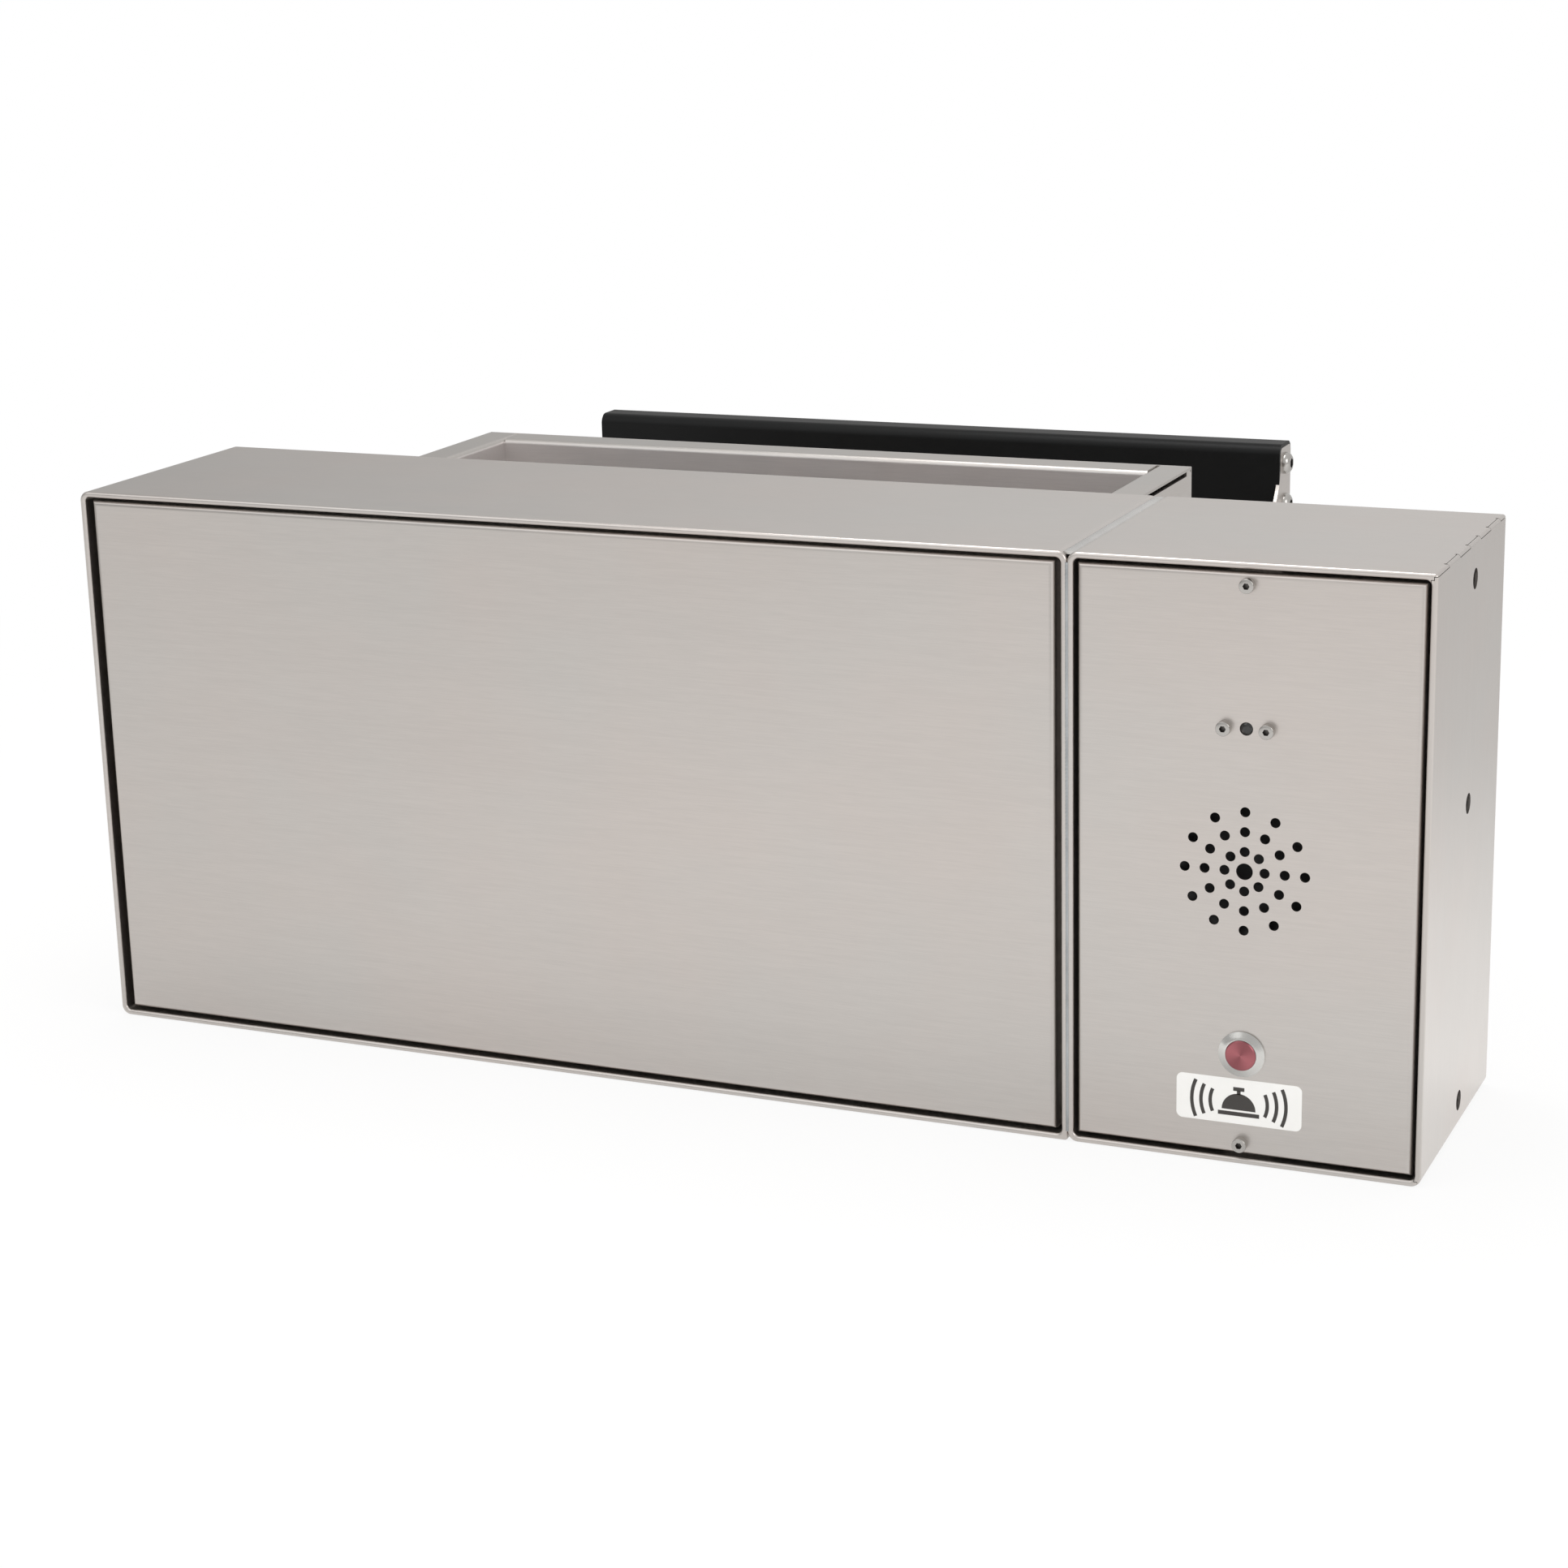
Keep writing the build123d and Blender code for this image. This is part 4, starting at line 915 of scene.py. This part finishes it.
class BeadProgram(Program):
    """Weld bead along a line, flattened, with the ripples of its pools and an uneven edge."""

    SEED = 3.0
    SIDES = 14
    LUMP_SCALE = 260.0
    LUMP_DETAIL = 2.0
    LUMP_SHARE = 5.0

    def __init__(self) -> None:
        """Draw the tree."""
        super().__init__("weld_bead")
        radius = self.value("Radius")
        ripple = self.value("Ripple")
        pitch = self.value("Pitch")
        step = self.value("Step")
        flatten = self.value("Flatten", "Vector")
        material = self.value("Material", "Material")
        line = self.node("GeometryNodeMeshToCurve", {0: self.start.outputs["Geometry"]})
        inputs = {"Curve": line.outputs[0], "Length": step}
        spaced = self.node("GeometryNodeResampleCurve", inputs, mode="LENGTH")
        along = self.node("GeometryNodeSplineParameter").outputs["Length"]
        wave = self.math("SINE", self.math("DIVIDE", self.math("MULTIPLY", along, 2 * math.pi), pitch))
        place = self.node("GeometryNodeInputPosition").outputs[0]
        inputs = {"Vector": place, "W": self.SEED, "Scale": self.LUMP_SCALE, "Detail": self.LUMP_DETAIL}
        lumps = self.node("ShaderNodeTexNoise", inputs, noise_dimensions="4D")
        uneven = self.math("MULTIPLY", self.math("SUBTRACT", lumps.outputs[0], 0.5), self.LUMP_SHARE)
        swell = self.math("MULTIPLY", ripple, self.math("ADD", wave, uneven))
        girth = self.math("MULTIPLY", radius, self.math("ADD", 1.0, swell))
        ring = self.node("GeometryNodeCurvePrimitiveCircle", {"Resolution": self.SIDES, "Radius": 1.0})
        oval = self.node("GeometryNodeTransform", {"Geometry": ring.outputs[0], "Scale": flatten})
        self.close(self.tube(spaced.outputs[0], oval.outputs[0], girth), material)


class SpringProgram(Program):
    """Coil spring of round wire that stands on a point."""

    STEPS = 32
    SIDES = 12

    def __init__(self) -> None:
        """Draw the tree."""
        super().__init__("coil_spring")
        turns = self.value("Turns")
        radius = self.value("Radius")
        length = self.value("Length")
        wire = self.value("Wire")
        turn = self.value("Turn", "Vector")
        material = self.value("Material", "Material")
        coil = self.node(
            "GeometryNodeCurveSpiral",
            {
                "Resolution": self.STEPS,
                "Rotations": turns,
                "Start Radius": radius,
                "End Radius": radius,
                "Height": length,
            },
        )
        ring = self.node("GeometryNodeCurvePrimitiveCircle", {"Resolution": self.SIDES, "Radius": wire})
        self.close(self.stood(self.tube(coil.outputs[0], ring.outputs[0]), turn), material)


class EdgeSoftener:
    """Shades a solid's curved faces smooth and keeps its flat faces and edges crisp."""

    SHARP = 31
    JOIN = 0.000002
    WEIGHT = 100

    def __init__(self) -> None:
        """Draw the tree that the modifier runs."""
        program = Program("crisp_edges")
        edged = program.crisp(program.start.outputs["Geometry"], self.SHARP)
        program.tree.links.new(edged, program.end.inputs[0])
        self.tree = program.tree

    def apply(self, target: bpy.types.Object) -> None:
        """Add the modifiers to an object.

        Args:
            target: A solid's object.
        """
        weld = target.modifiers.new("joined", "WELD")
        weld.merge_threshold = self.JOIN
        crisp = target.modifiers.new("crisp", "NODES")
        crisp.node_group = self.tree
        weighted = target.modifiers.new("weighted", "WEIGHTED_NORMAL")
        weighted.mode = "FACE_AREA"
        weighted.weight = self.WEIGHT
        weighted.keep_sharp = True


# ---------------------------------------------------------------- the object


@dataclass
class Paintshop:
    """All the finishes, built once and handed out by name."""

    made: dict[str, bpy.types.Material] = field(default_factory=dict)

    def get(self, finish: Any) -> bpy.types.Material:
        """Material of a finish, built on first use.

        Args:
            finish: A finish.

        Returns:
            Its material.
        """
        if finish.name not in self.made:
            self.made[finish.name] = finish.build()
            log.info("finish %s", finish.name)
        return self.made[finish.name]


FRONT_SHEET = BrushedSheet("brushed_sheet_across", Grain.ACROSS)
SIDE_SHEET = BrushedSheet("brushed_sheet_upright", Grain.UPRIGHT)
DEEP_SHEET = BrushedSheet("brushed_sheet_deep", Grain.DEEP)
# Same steel as the outer sheets, painted lighter as painted light on the tray's enclosed inner walls; above the
# rim's height it is brought back to the outer sheets' tone.
TRAY_SHEET_PAINTED_LIGHT = BrushedSheet(
    "tray_sheet_painted_light", Grain.ACROSS, (0.735, 0.690, 0.672), (0.715, 0.690, 0.680), 0.52, rim=0.2632
)
ZINC = PlainMetal("zinc_plate", (0.60, 0.61, 0.60), 0.34, mottle=0.10, scale=700)
BRIGHT = PlainMetal("bright_screw_steel", (0.47, 0.455, 0.435), 0.20, mottle=0.05)
# Dark steel for the screw sockets' walls and floor: painted shade in the recess.
SOCKET_SHADE = PlainMetal("screw_socket_painted_shade", (0.13, 0.123, 0.117), 0.40, mottle=0.10)
DRESSED_WELD = PlainMetal("dressed_weld", (0.60, 0.59, 0.575), 0.26, mottle=0.10, scale=1600, depth=0.00003)
RAW_WELD = PlainMetal("raw_weld", (0.40, 0.42, 0.43), 0.34, mottle=0.22, scale=1600, depth=0.00004)
BAR_BLACK = Moulded(
    "black_anodised", (0.0045, 0.0048, 0.005), 0.42, variation=0.2, depth=0.000008, sheen=0.16
)
RUBBER = Moulded("black_rubber", (0.012, 0.012, 0.012), 0.62)
BLACK_PLASTIC = Moulded("black_plastic", (0.014, 0.014, 0.015), 0.45)
NYLON = Moulded("nylon", (0.80, 0.79, 0.74), 0.42, variation=0.03)
LABEL = Moulded("label_film", (0.89, 0.89, 0.875), 0.35, variation=0.015, depth=0.000004)
INK = Moulded("label_ink", (0.042, 0.038, 0.035), 0.45, variation=0.08)
FERRITE = Moulded("ferrite", (0.06, 0.06, 0.065), 0.5)
LENS = LensGlass("camera_window")
BOARD = CircuitBoard("circuit_board")


def paint(target: bpy.types.Object, material: bpy.types.Material) -> None:
    """Put a material in every slot of an object.

    Args:
        target: The object.
        material: The material.
    """
    if not target.material_slots:
        target.data.materials.append(material)
    for slot in target.material_slots:
        slot.material = material


@dataclass
class Dressed:
    """Solids that keep their own shape, in groups of one finish."""

    groups: tuple[tuple[Any, tuple[str, ...]], ...] = ()

    def dress(self, shop: Paintshop, nodes: dict[str, bpy.types.Object]) -> None:
        """Give each piece the finish of its group.

        Args:
            shop: The finishes.
            nodes: The solids' objects.
        """
        for finish, names in self.groups:
            for name in names:
                paint(nodes[name], shop.get(finish))
                log.info("piece %s: %s", name, finish.name)


@dataclass
class Sheetwork(Dressed):
    """The brushed boxes, panels and tray, each with its grain."""

    groups: tuple[tuple[Any, tuple[str, ...]], ...] = (
        (FRONT_SHEET, ("hood_shell", "intercom_shell", "drawer_panel", "intercom_panel", "panel_stiffener")),
        (FRONT_SHEET, ("tray_skin_rear", "rear_cover", "stop_frame")),
        (SIDE_SHEET, ("intercom_side", "box_lugs", "latch_plate", "latch_strike")),
        # The tray's sheets get the steel painted lighter: painted light inside the tray.
        (TRAY_SHEET_PAINTED_LIGHT, ("tray_rear", "tray_front", "tray_floor", "tray_side_left", "tray_side_right")),
        (DEEP_SHEET, ("tray_skin_left", "tray_skin_right", "arm_left", "arm_right")),
    )


@dataclass
class Mechanism(Dressed):
    """Rails, rollers, latch, speaker and the other inner pieces."""

    groups: tuple[tuple[Any, tuple[str, ...]], ...] = (
        (DRESSED_WELD, ("seam_welds",)),
        (RUBBER, ("weather_seal", "travel_bumpers", "speaker_gasket", "cable_grommet")),
        (ZINC, ("roller_bracket_left", "roller_bracket_right", "rail_left", "rail_right")),
        (ZINC, ("arm_spacers", "board_standoffs", "speaker_frame")),
        (BRIGHT, ("bracket_screws", "roller_axles", "arm_screws", "handle_screws", "panel_screws")),
        (BRIGHT, ("camera_screws", "rear_cover_screws", "speaker_fixings", "button_spring")),
        (BRIGHT, ("latch_cam", "latch_bush", "latch_knob")),
        (BLACK_PLASTIC, ("camera_body", "switch_block", "speaker_cone")),
        (BAR_BLACK, ("handle_bar",)),
        (LABEL, ("call_label",)),
        (FERRITE, ("speaker_magnet",)),
        (BOARD, ("intercom_board",)),
        (LENS, ("camera_lens",)),
        (NYLON, ("roller_left_front", "roller_left_rear", "roller_right_front", "roller_right_rear")),
    )


@dataclass
class CallButton:
    """The call button in the intercom's panel."""

    x: float = 0.2725
    z: float = 0.0551
    face_y: float = -0.0742
    travel: float = 0.0025
    spring_turns: float = 4.5
    spring_radius: float = 5.2 * MM
    spring_wire: float = 0.4 * MM
    bezel_colour: tuple[float, float, float] = (0.60, 0.595, 0.575)
    cap_colour: tuple[float, float, float] = (0.35, 0.122, 0.136)

    def dress(self, shop: Paintshop, nodes: dict[str, bpy.types.Object]) -> None:
        """Give the bezel and the cap their turned finishes.

        Args:
            shop: The finishes.
            nodes: The solids' objects.
        """
        centre = (self.x, self.face_y, self.z)
        # Both turned finishes carry a painted sheen in a bow round the button's axis.
        bezel = TurnedMetal("turned_bezel", centre, "y", self.bezel_colour, roughness=0.22, painted_sheen_bow=0.20)
        cap = TurnedMetal("turned_red_cap", centre, "y", self.cap_colour, roughness=0.32, painted_sheen_bow=0.22)
        paint(nodes["button_body"], shop.get(bezel))
        paint(nodes["button_nut"], shop.get(BRIGHT))
        paint(nodes["button_cap"], shop.get(cap))
        self.spring(shop)
        log.info("call button dressed")

    def spring(self, shop: Paintshop) -> None:
        """Make the return spring.

        Args:
            shop: The finishes.
        """
        low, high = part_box("button_spring")
        values = {
            "Turns": self.spring_turns,
            "Radius": self.spring_radius,
            "Length": high[1] - low[1] - 2 * self.spring_wire,
            "Wire": self.spring_wire,
            "Turn": Facing.CUSTOMER.value,
            "Material": shop.get(BRIGHT),
        }
        foot = (self.x, high[1] - self.spring_wire, self.z)
        coil = SpringProgram().run("return_spring", [foot], values)
        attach(coil, "hood")
        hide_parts("button_spring")
        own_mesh(coil)


@dataclass(frozen=True)
class Head:
    """Size and form of a screw's head, and its socket as shares of it."""

    form: HeadForm
    radius: float
    height: float
    socket_radius: float = 0.47
    socket_depth: float = 0.6


PANEL_HEAD = Head(HeadForm.CAP, 3.5 * MM, 4.0 * MM)
COVER_HEAD = Head(HeadForm.BUTTON, 3.5 * MM, 2.2 * MM)
ARM_HEAD = Head(HeadForm.BUTTON, 4.3 * MM, 2.4 * MM)
BAR_HEAD = Head(HeadForm.BUTTON, 6.75 * MM, 4.2 * MM)


@dataclass
class ScrewSet:
    """One kind of screw at its places, which stands for a solid of the same name."""

    node: str
    body: str
    head: Head
    places: dict[Facing, list[Point]]

    def build(self, shop: Paintshop, programs: dict[HeadForm, ScrewProgram]) -> None:
        """Make the heads and ride them on their body.

        Args:
            shop: The finishes.
            programs: The tree of each head form.
        """
        values = {
            "Head Radius": self.head.radius,
            "Head Height": self.head.height,
            "Socket Radius": self.head.radius * self.head.socket_radius,
            "Socket Depth": self.head.height * self.head.socket_depth,
            "Material": shop.get(BRIGHT),
            # The sockets get the dark steel as painted shade.
            "Socket Shade Material": shop.get(SOCKET_SHADE),
        }
        made = []
        for facing, points in self.places.items():
            name = f"{self.node}_{facing.name.lower()}"
            made.append(programs[self.head.form].run(name, points, {**values, "Turn": facing.value}))
        heads = merged(f"{self.node}_heads", made)
        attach(heads, self.body)
        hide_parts(self.node)
        log.info("%s: %d faces", self.node, len(heads.data.polygons))


def merged(name: str, parts: Sequence[bpy.types.Object]) -> bpy.types.Object:
    """Join objects with the same materials into one.

    Args:
        name: Name of the joined object.
        parts: The objects, which are used up.

    Returns:
        The joined object.
    """
    mesh = bmesh.new()
    for part in parts:
        mesh.from_mesh(part.data)
    data = parts[0].data.copy()
    mesh.to_mesh(data)
    mesh.free()
    for part in parts:
        bpy.data.objects.remove(part)
    data.name = name
    return linked(name, data)


@dataclass
class Screws:
    """All the screws that show."""

    panel_x: float = 0.2725
    panel_y: float = -0.071
    panel_heights: tuple[float, ...] = (0.0103, 0.2797)
    camera_z: float = 0.2126
    camera_offset: float = 0.0102
    cover_y: float = 0.072
    cover_xs: tuple[float, ...] = (0.198, 0.347)
    cover_heights: tuple[float, ...] = (0.0115, 0.2785)
    drawer_x: float = -0.086
    arm_half: float = 0.2307
    arm_ys: tuple[float, ...] = (-0.022, 0.118, 0.258)
    arm_heights: tuple[float, ...] = (0.088, 0.132)
    bar_y: float = 0.465
    bar_heights: tuple[float, ...] = (0.2119, 0.2373)

    def on_arms(self, spots: Sequence[tuple[float, float]]) -> dict[Facing, list[Point]]:
        """Places on the outer faces of both arms.

        Args:
            spots: Depth and height of each place.

        Returns:
            The places by the way they face.
        """
        sides = {Facing.LEFT: self.drawer_x - self.arm_half, Facing.RIGHT: self.drawer_x + self.arm_half}
        return {facing: [(x, y, z) for y, z in spots] for facing, x in sides.items()}

    def sets(self) -> list[ScrewSet]:
        """Every set of screws on the object."""
        panel = [(self.panel_x, self.panel_y, z) for z in self.panel_heights]
        camera = [(self.panel_x + side * self.camera_offset, self.panel_y, self.camera_z) for side in (-1, 1)]
        cover = [(x, self.cover_y, z) for x in self.cover_xs for z in self.cover_heights]
        arm = self.on_arms([(y, z) for y in self.arm_ys for z in self.arm_heights])
        bar = self.on_arms([(self.bar_y, z) for z in self.bar_heights])
        return [
            ScrewSet("panel_screws", "hood", PANEL_HEAD, {Facing.CUSTOMER: panel}),
            ScrewSet("camera_screws", "hood", PANEL_HEAD, {Facing.CUSTOMER: camera}),
            ScrewSet("rear_cover_screws", "hood", COVER_HEAD, {Facing.TELLER: cover}),
            ScrewSet("arm_screws", "drawer", ARM_HEAD, arm),
            ScrewSet("handle_screws", "drawer", BAR_HEAD, bar),
        ]

    def build(self, shop: Paintshop) -> None:
        """Make every set.

        Args:
            shop: The finishes.
        """
        programs = {form: ScrewProgram(form) for form in HeadForm}
        for group in self.sets():
            group.build(shop, programs)


@dataclass(frozen=True)
class Bead:
    """One kind of weld bead: its girth, its ripples and its finish."""

    radius: float
    ripple: float
    pitch: float
    flatten: Point
    finish: PlainMetal
    step: float = 0.0004

    def run(
        self, name: str, line: Sequence[Point], program: BeadProgram, shop: Paintshop
    ) -> bpy.types.Object:
        """Make the bead.

        Args:
            name: Its name.
            line: The points that it runs through.
            program: The tree.
            shop: The finishes.

        Returns:
            The bead.
        """
        values = {
            "Radius": self.radius,
            "Ripple": self.ripple,
            "Pitch": self.pitch,
            "Step": self.step,
            "Flatten": self.flatten,
            "Material": shop.get(self.finish),
        }
        return program.run(name, line, values, edges=True)


DRESSED_BEAD = Bead(0.0029, 0.018, 0.0016, (1.0, 0.28, 1.0), DRESSED_WELD)
RAW_BEAD = Bead(0.0010, 0.05, 0.0019, (1.0, 1.0, 1.0), RAW_WELD)


@dataclass
class Welds:
    """Beads that join the intercom box to the hood: dressed on top, raw in the groove at the front."""

    seam_x: float = 0.1865
    front_y: float = -0.072
    rear_y: float = 0.072
    front_gap: float = 0.003
    rear_gap: float = 0.0015
    height: float = 0.290
    corner: float = 0.005
    sink: float = 0.0009

    def build(self, shop: Paintshop) -> None:
        """Make the beads, which stand for the plain ones.

        Args:
            shop: The finishes.
        """
        program = BeadProgram()
        ends = (self.front_y + self.front_gap, self.rear_y - self.rear_gap)
        top = [(self.seam_x, y, self.height - self.sink) for y in ends]
        groove = [(self.seam_x, self.front_y + self.sink, z) for z in (self.corner, self.height - self.corner)]
        first = DRESSED_BEAD.run("top_seam_bead", top, program, shop)
        second = RAW_BEAD.run("front_seam_bead", groove, program, shop)
        for bead in (first, second):
            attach(bead, "hood")
            log.info("%s: %d faces", bead.name, len(bead.data.polygons))
        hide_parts("seam_welds")


@dataclass
class Pictogram:
    """Counter bell with sound waves on the label, printed as a thin film of ink."""

    x: float = 0.2713
    z: float = 0.0312
    face_y: float = -0.0713
    thickness: float = 0.00006
    base: tuple[float, float, float, float] = (-10.0, 10.0, -7.3, -5.3)
    dome_radius: float = 8.2
    dome_z: float = -4.3
    stem: tuple[float, float, float, float] = (-0.9, 0.9, 3.4, 5.4)
    knob: tuple[float, float, float, float] = (-2.7, 2.7, 5.2, 7.1)
    wave_centre_z: float = -0.6
    wave_radii: tuple[float, ...] = (13.0, 17.5, 22.0)
    wave_width: float = 1.7
    wave_half_angle: float = 24.0
    dome_steps: int = 24
    wave_steps: int = 12

    def shapes(self) -> list[list[tuple[float, float]]]:
        """Outlines of the sign in millimetres, each turning the same way round."""
        bars = (self.base, self.stem, self.knob)
        found = [[(x0, z0), (x1, z0), (x1, z1), (x0, z1)] for x0, x1, z0, z1 in bars]
        found.append(self.arc(self.dome_radius, self.dome_z, 0.0, math.pi, self.dome_steps))
        for radius in self.wave_radii:
            for middle in (0.0, math.pi):
                found.append(self.wave(radius, middle))
        return found

    def arc(
        self, radius: float, height: float, start: float, sweep: float, steps: int
    ) -> list[tuple[float, float]]:
        """Points along an arc round the sign's middle line.

        Args:
            radius: Its radius in millimetres.
            height: Height of its centre in millimetres.
            start: Direction of its first point, in radians.
            sweep: Angle that it goes round, in radians.
            steps: Number of its steps.

        Returns:
            The points.
        """
        turns = [start + sweep * n / steps for n in range(steps + 1)]
        return [(radius * math.cos(turn), height + radius * math.sin(turn)) for turn in turns]

    def wave(self, radius: float, middle: float) -> list[tuple[float, float]]:
        """Outline of one sound wave.

        Args:
            radius: Its inner radius in millimetres.
            middle: Direction of its middle, in radians.

        Returns:
            The outline.
        """
        half = math.radians(self.wave_half_angle)
        far, near = [
            self.arc(reach, self.wave_centre_z, middle - half, 2 * half, self.wave_steps)
            for reach in (radius + self.wave_width, radius)
        ]
        return far + near[::-1]

    def build(self, shop: Paintshop) -> None:
        """Make the sign as thin prisms on the label.

        Args:
            shop: The finishes.
        """
        mesh = bmesh.new()
        for outline in self.shapes():
            ground = [mesh.verts.new((self.x + px * MM, self.face_y, self.z + pz * MM)) for px, pz in outline]
            face = mesh.faces.new(ground)
            lifted = bmesh.ops.extrude_face_region(mesh, geom=[face])["geom"]
            moved = [item for item in lifted if isinstance(item, bmesh.types.BMVert)]
            bmesh.ops.translate(mesh, verts=moved, vec=(0, -self.thickness, 0))
        bmesh.ops.recalc_face_normals(mesh, faces=mesh.faces)
        data = bpy.data.meshes.new("service_sign")
        mesh.to_mesh(data)
        mesh.free()
        sign = linked("service_sign", data)
        data.materials.append(shop.get(INK))
        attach(sign, "hood")
        log.info("service sign: %d shapes", len(self.shapes()))


# ---------------------------------------------------------------- studio


@dataclass(frozen=True)
class Lamp:
    """Square soft lamp that points at a target."""

    name: str
    place: Point
    target: Point
    size: float
    power: float

    def build(self) -> None:
        """Put the lamp in its place."""
        light = bpy.data.lights.new(self.name, "AREA")
        light.shape = "SQUARE"
        light.size = self.size
        light.energy = self.power
        turn = (Vector(self.target) - Vector(self.place)).to_track_quat("-Z", "Y")
        linked(self.name, light).matrix_world = Matrix.Translation(self.place) @ turn.to_matrix().to_4x4()


@dataclass(frozen=True)
class Studio:
    """Pale floor, soft lamps and the camera at the photograph's angle."""

    camera_place: Point = (0.6661, -1.4792, 0.5955)
    camera_turn: tuple[float, float, float] = (74.4174, 1.4049, 23.5366)
    lens: float = 75.362
    sensor: float = 36.0
    clip_start: float = 0.01
    clip_end: float = 50.0
    lamps: tuple[Lamp, ...] = (
        Lamp("key", (-1.3, -1.7, 2.2), (0.0, 0.0, 0.1), 2.2, 13),
        Lamp("fill", (1.9, -0.7, 1.2), (0.1, 0.1, 0.1), 1.2, 9),
        Lamp("overhead", (-0.086, 0.24, 1.3), (-0.086, 0.24, 0.0), 0.6, 5),
    )
    floor_reach: float = 12.0
    floor_z: float = -0.0002
    floor_level: float = 0.86
    floor_fade: Ramp = Ramp(0.45, 1.3, 0.86, 1.0)
    mirror_white: float = 0.45
    pool_ahead: Ramp = Ramp(-0.60, -0.12, 1.00, 0.80)
    pool_left: Ramp = Ramp(-0.48, -0.22, 0.78, 1.0)
    pool_beside: Ramp = Ramp(0.12, 0.70, 1.40, 0.42)
    pool_edge: Ramp = Ramp(-0.09, -0.05)
    room_colour: Colour = (1.0, 0.985, 0.965, 1.0)
    room: Ramp = Ramp(0.3, 0.8, 0.82, 1.05)
    room_left: Ramp = Ramp(-0.60, -0.20, 0.58, 1.0)
    mirrored_room: float = 0.72

    def build(self) -> None:
        """Make the floor, the world, the lamps and the camera."""
        self.floor()
        self.world()
        for lamp in self.lamps:
            lamp.build()
        self.camera()
        log.info("studio ready")

    def floor(self) -> None:
        """Pale floor that keeps the object's shadow and fades to plain white further off."""
        mesh = bpy.data.meshes.new("floor")
        reach = self.floor_reach
        corners = ((-reach, -reach), (reach, -reach), (reach, reach), (-reach, reach))
        mesh.from_pydata([(x, y, self.floor_z) for x, y in corners], [], [(0, 1, 2, 3)])
        ground = linked("floor", mesh)
        shader = Shader("pale_floor")
        matt = shader.node("ShaderNodeBsdfDiffuse")
        matt.inputs["Color"].default_value = grey(self.floor_level)
        glow = shader.node("ShaderNodeEmission")
        glow.inputs["Color"].default_value = grey(1.0)
        ray = shader.node("ShaderNodeLightPath")
        mirror = ray.outputs["Is Glossy Ray"]
        away, _ = shader.radius_from((0.0, 0.0, 0.0), "z")
        white = shader.math("MULTIPLY", shader.straight(ray), shader.ramped(away, self.floor_fade))
        seen = shader.math("MAXIMUM", white, shader.math("MULTIPLY", mirror, self.mirror_white))
        shader.feed(glow.inputs["Strength"], self.where_mirrored(shader, mirror, self.pool(shader)))
        shader.show_mix(seen, matt, glow)
        mesh.materials.append(shader.material)
        ground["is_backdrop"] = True

    def where_mirrored(self, board: Board, mirror: Any, level: Any) -> Any:
        """Use a level in mirrored rays and one elsewhere.

        Args:
            board: The drawing board.
            mirror: One in mirrored rays and zero elsewhere.
            level: The level.

        Returns:
            The strength.
        """
        return board.math("MULTIPLY_ADD", mirror, board.math("SUBTRACT", level, 1.0), 1.0)

    def pool(self, shader: Shader) -> Any:
        """Floor light in the sheets' mirror: brightest close by on the right, duller in front and on the left.

        Args:
            shader: The floor's drawing board.

        Returns:
            The strength.
        """
        across, deep, _ = shader.split(shader.place)
        front, left = shader.ramped(deep, self.pool_ahead), shader.ramped(across, self.pool_left)
        ahead = shader.math("MULTIPLY", front, left)
        more = shader.math("SUBTRACT", shader.ramped(deep, self.pool_beside), ahead)
        return shader.math("MULTIPLY_ADD", shader.ramped(deep, self.pool_edge), more, ahead)

    def world(self) -> None:
        """Room light, duller on the left in the sheets' mirror, and plain white where the camera sees it."""
        world = bpy.data.worlds.new("white_room")
        bpy.context.scene.world = world
        world.use_nodes = True
        board = Board(world.node_tree, "ShaderNodeOutputWorld")
        across, _, height = board.split(board.coordinates["Generated"])
        ray = board.node("ShaderNodeLightPath")
        mirror = ray.outputs["Is Glossy Ray"]
        duller = board.ramped(across, self.room_left)
        dimmed = board.math("MULTIPLY", duller, self.mirrored_room)
        share = self.where_mirrored(board, mirror, dimmed)
        room = board.node("ShaderNodeBackground")
        room.inputs["Color"].default_value = self.room_colour
        board.feed(room.inputs["Strength"], board.math("MULTIPLY", board.ramped(height, self.room), share))
        white = board.node("ShaderNodeBackground")
        white.inputs["Color"].default_value = grey(1.0)
        board.feed(white.inputs["Strength"], self.where_mirrored(board, mirror, duller))
        mirrored = board.math("MULTIPLY", mirror, self.mirror_white)
        board.show_mix(board.math("MAXIMUM", board.straight(ray), mirrored), room, white)

    def camera(self) -> None:
        """Camera where the photograph was taken from."""
        lens = bpy.data.cameras.new("camera")
        lens.lens = self.lens
        lens.sensor_width = self.sensor
        lens.sensor_height = self.sensor
        lens.sensor_fit = "HORIZONTAL"
        lens.clip_start = self.clip_start
        lens.clip_end = self.clip_end
        holder = linked("camera", lens)
        holder.location = self.camera_place
        holder.rotation_euler = [math.radians(angle) for angle in self.camera_turn]
        bpy.context.scene.camera = holder


def main() -> None:
    """Load the solids, dress them and light them."""
    logging.basicConfig(level=logging.INFO, format="%(message)s")
    bpy.context.scene.view_settings.view_transform = "Standard"
    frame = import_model()
    solid_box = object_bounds()
    nodes = frame["nodes"]
    softener = EdgeSoftener()
    for node in nodes.values():
        softener.apply(node)
    shop = Paintshop()
    Sheetwork().dress(shop, nodes)
    Mechanism().dress(shop, nodes)
    CallButton().dress(shop, nodes)
    Screws().build(shop)
    Welds().build(shop)
    Pictogram().build(shop)
    Studio().build()
    boxes = {"solids": solid_box, "scene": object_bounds()}
    plain = {key: [[float(part) for part in corner] for corner in value] for key, value in boxes.items()}


if __name__ == "__main__":
    main()
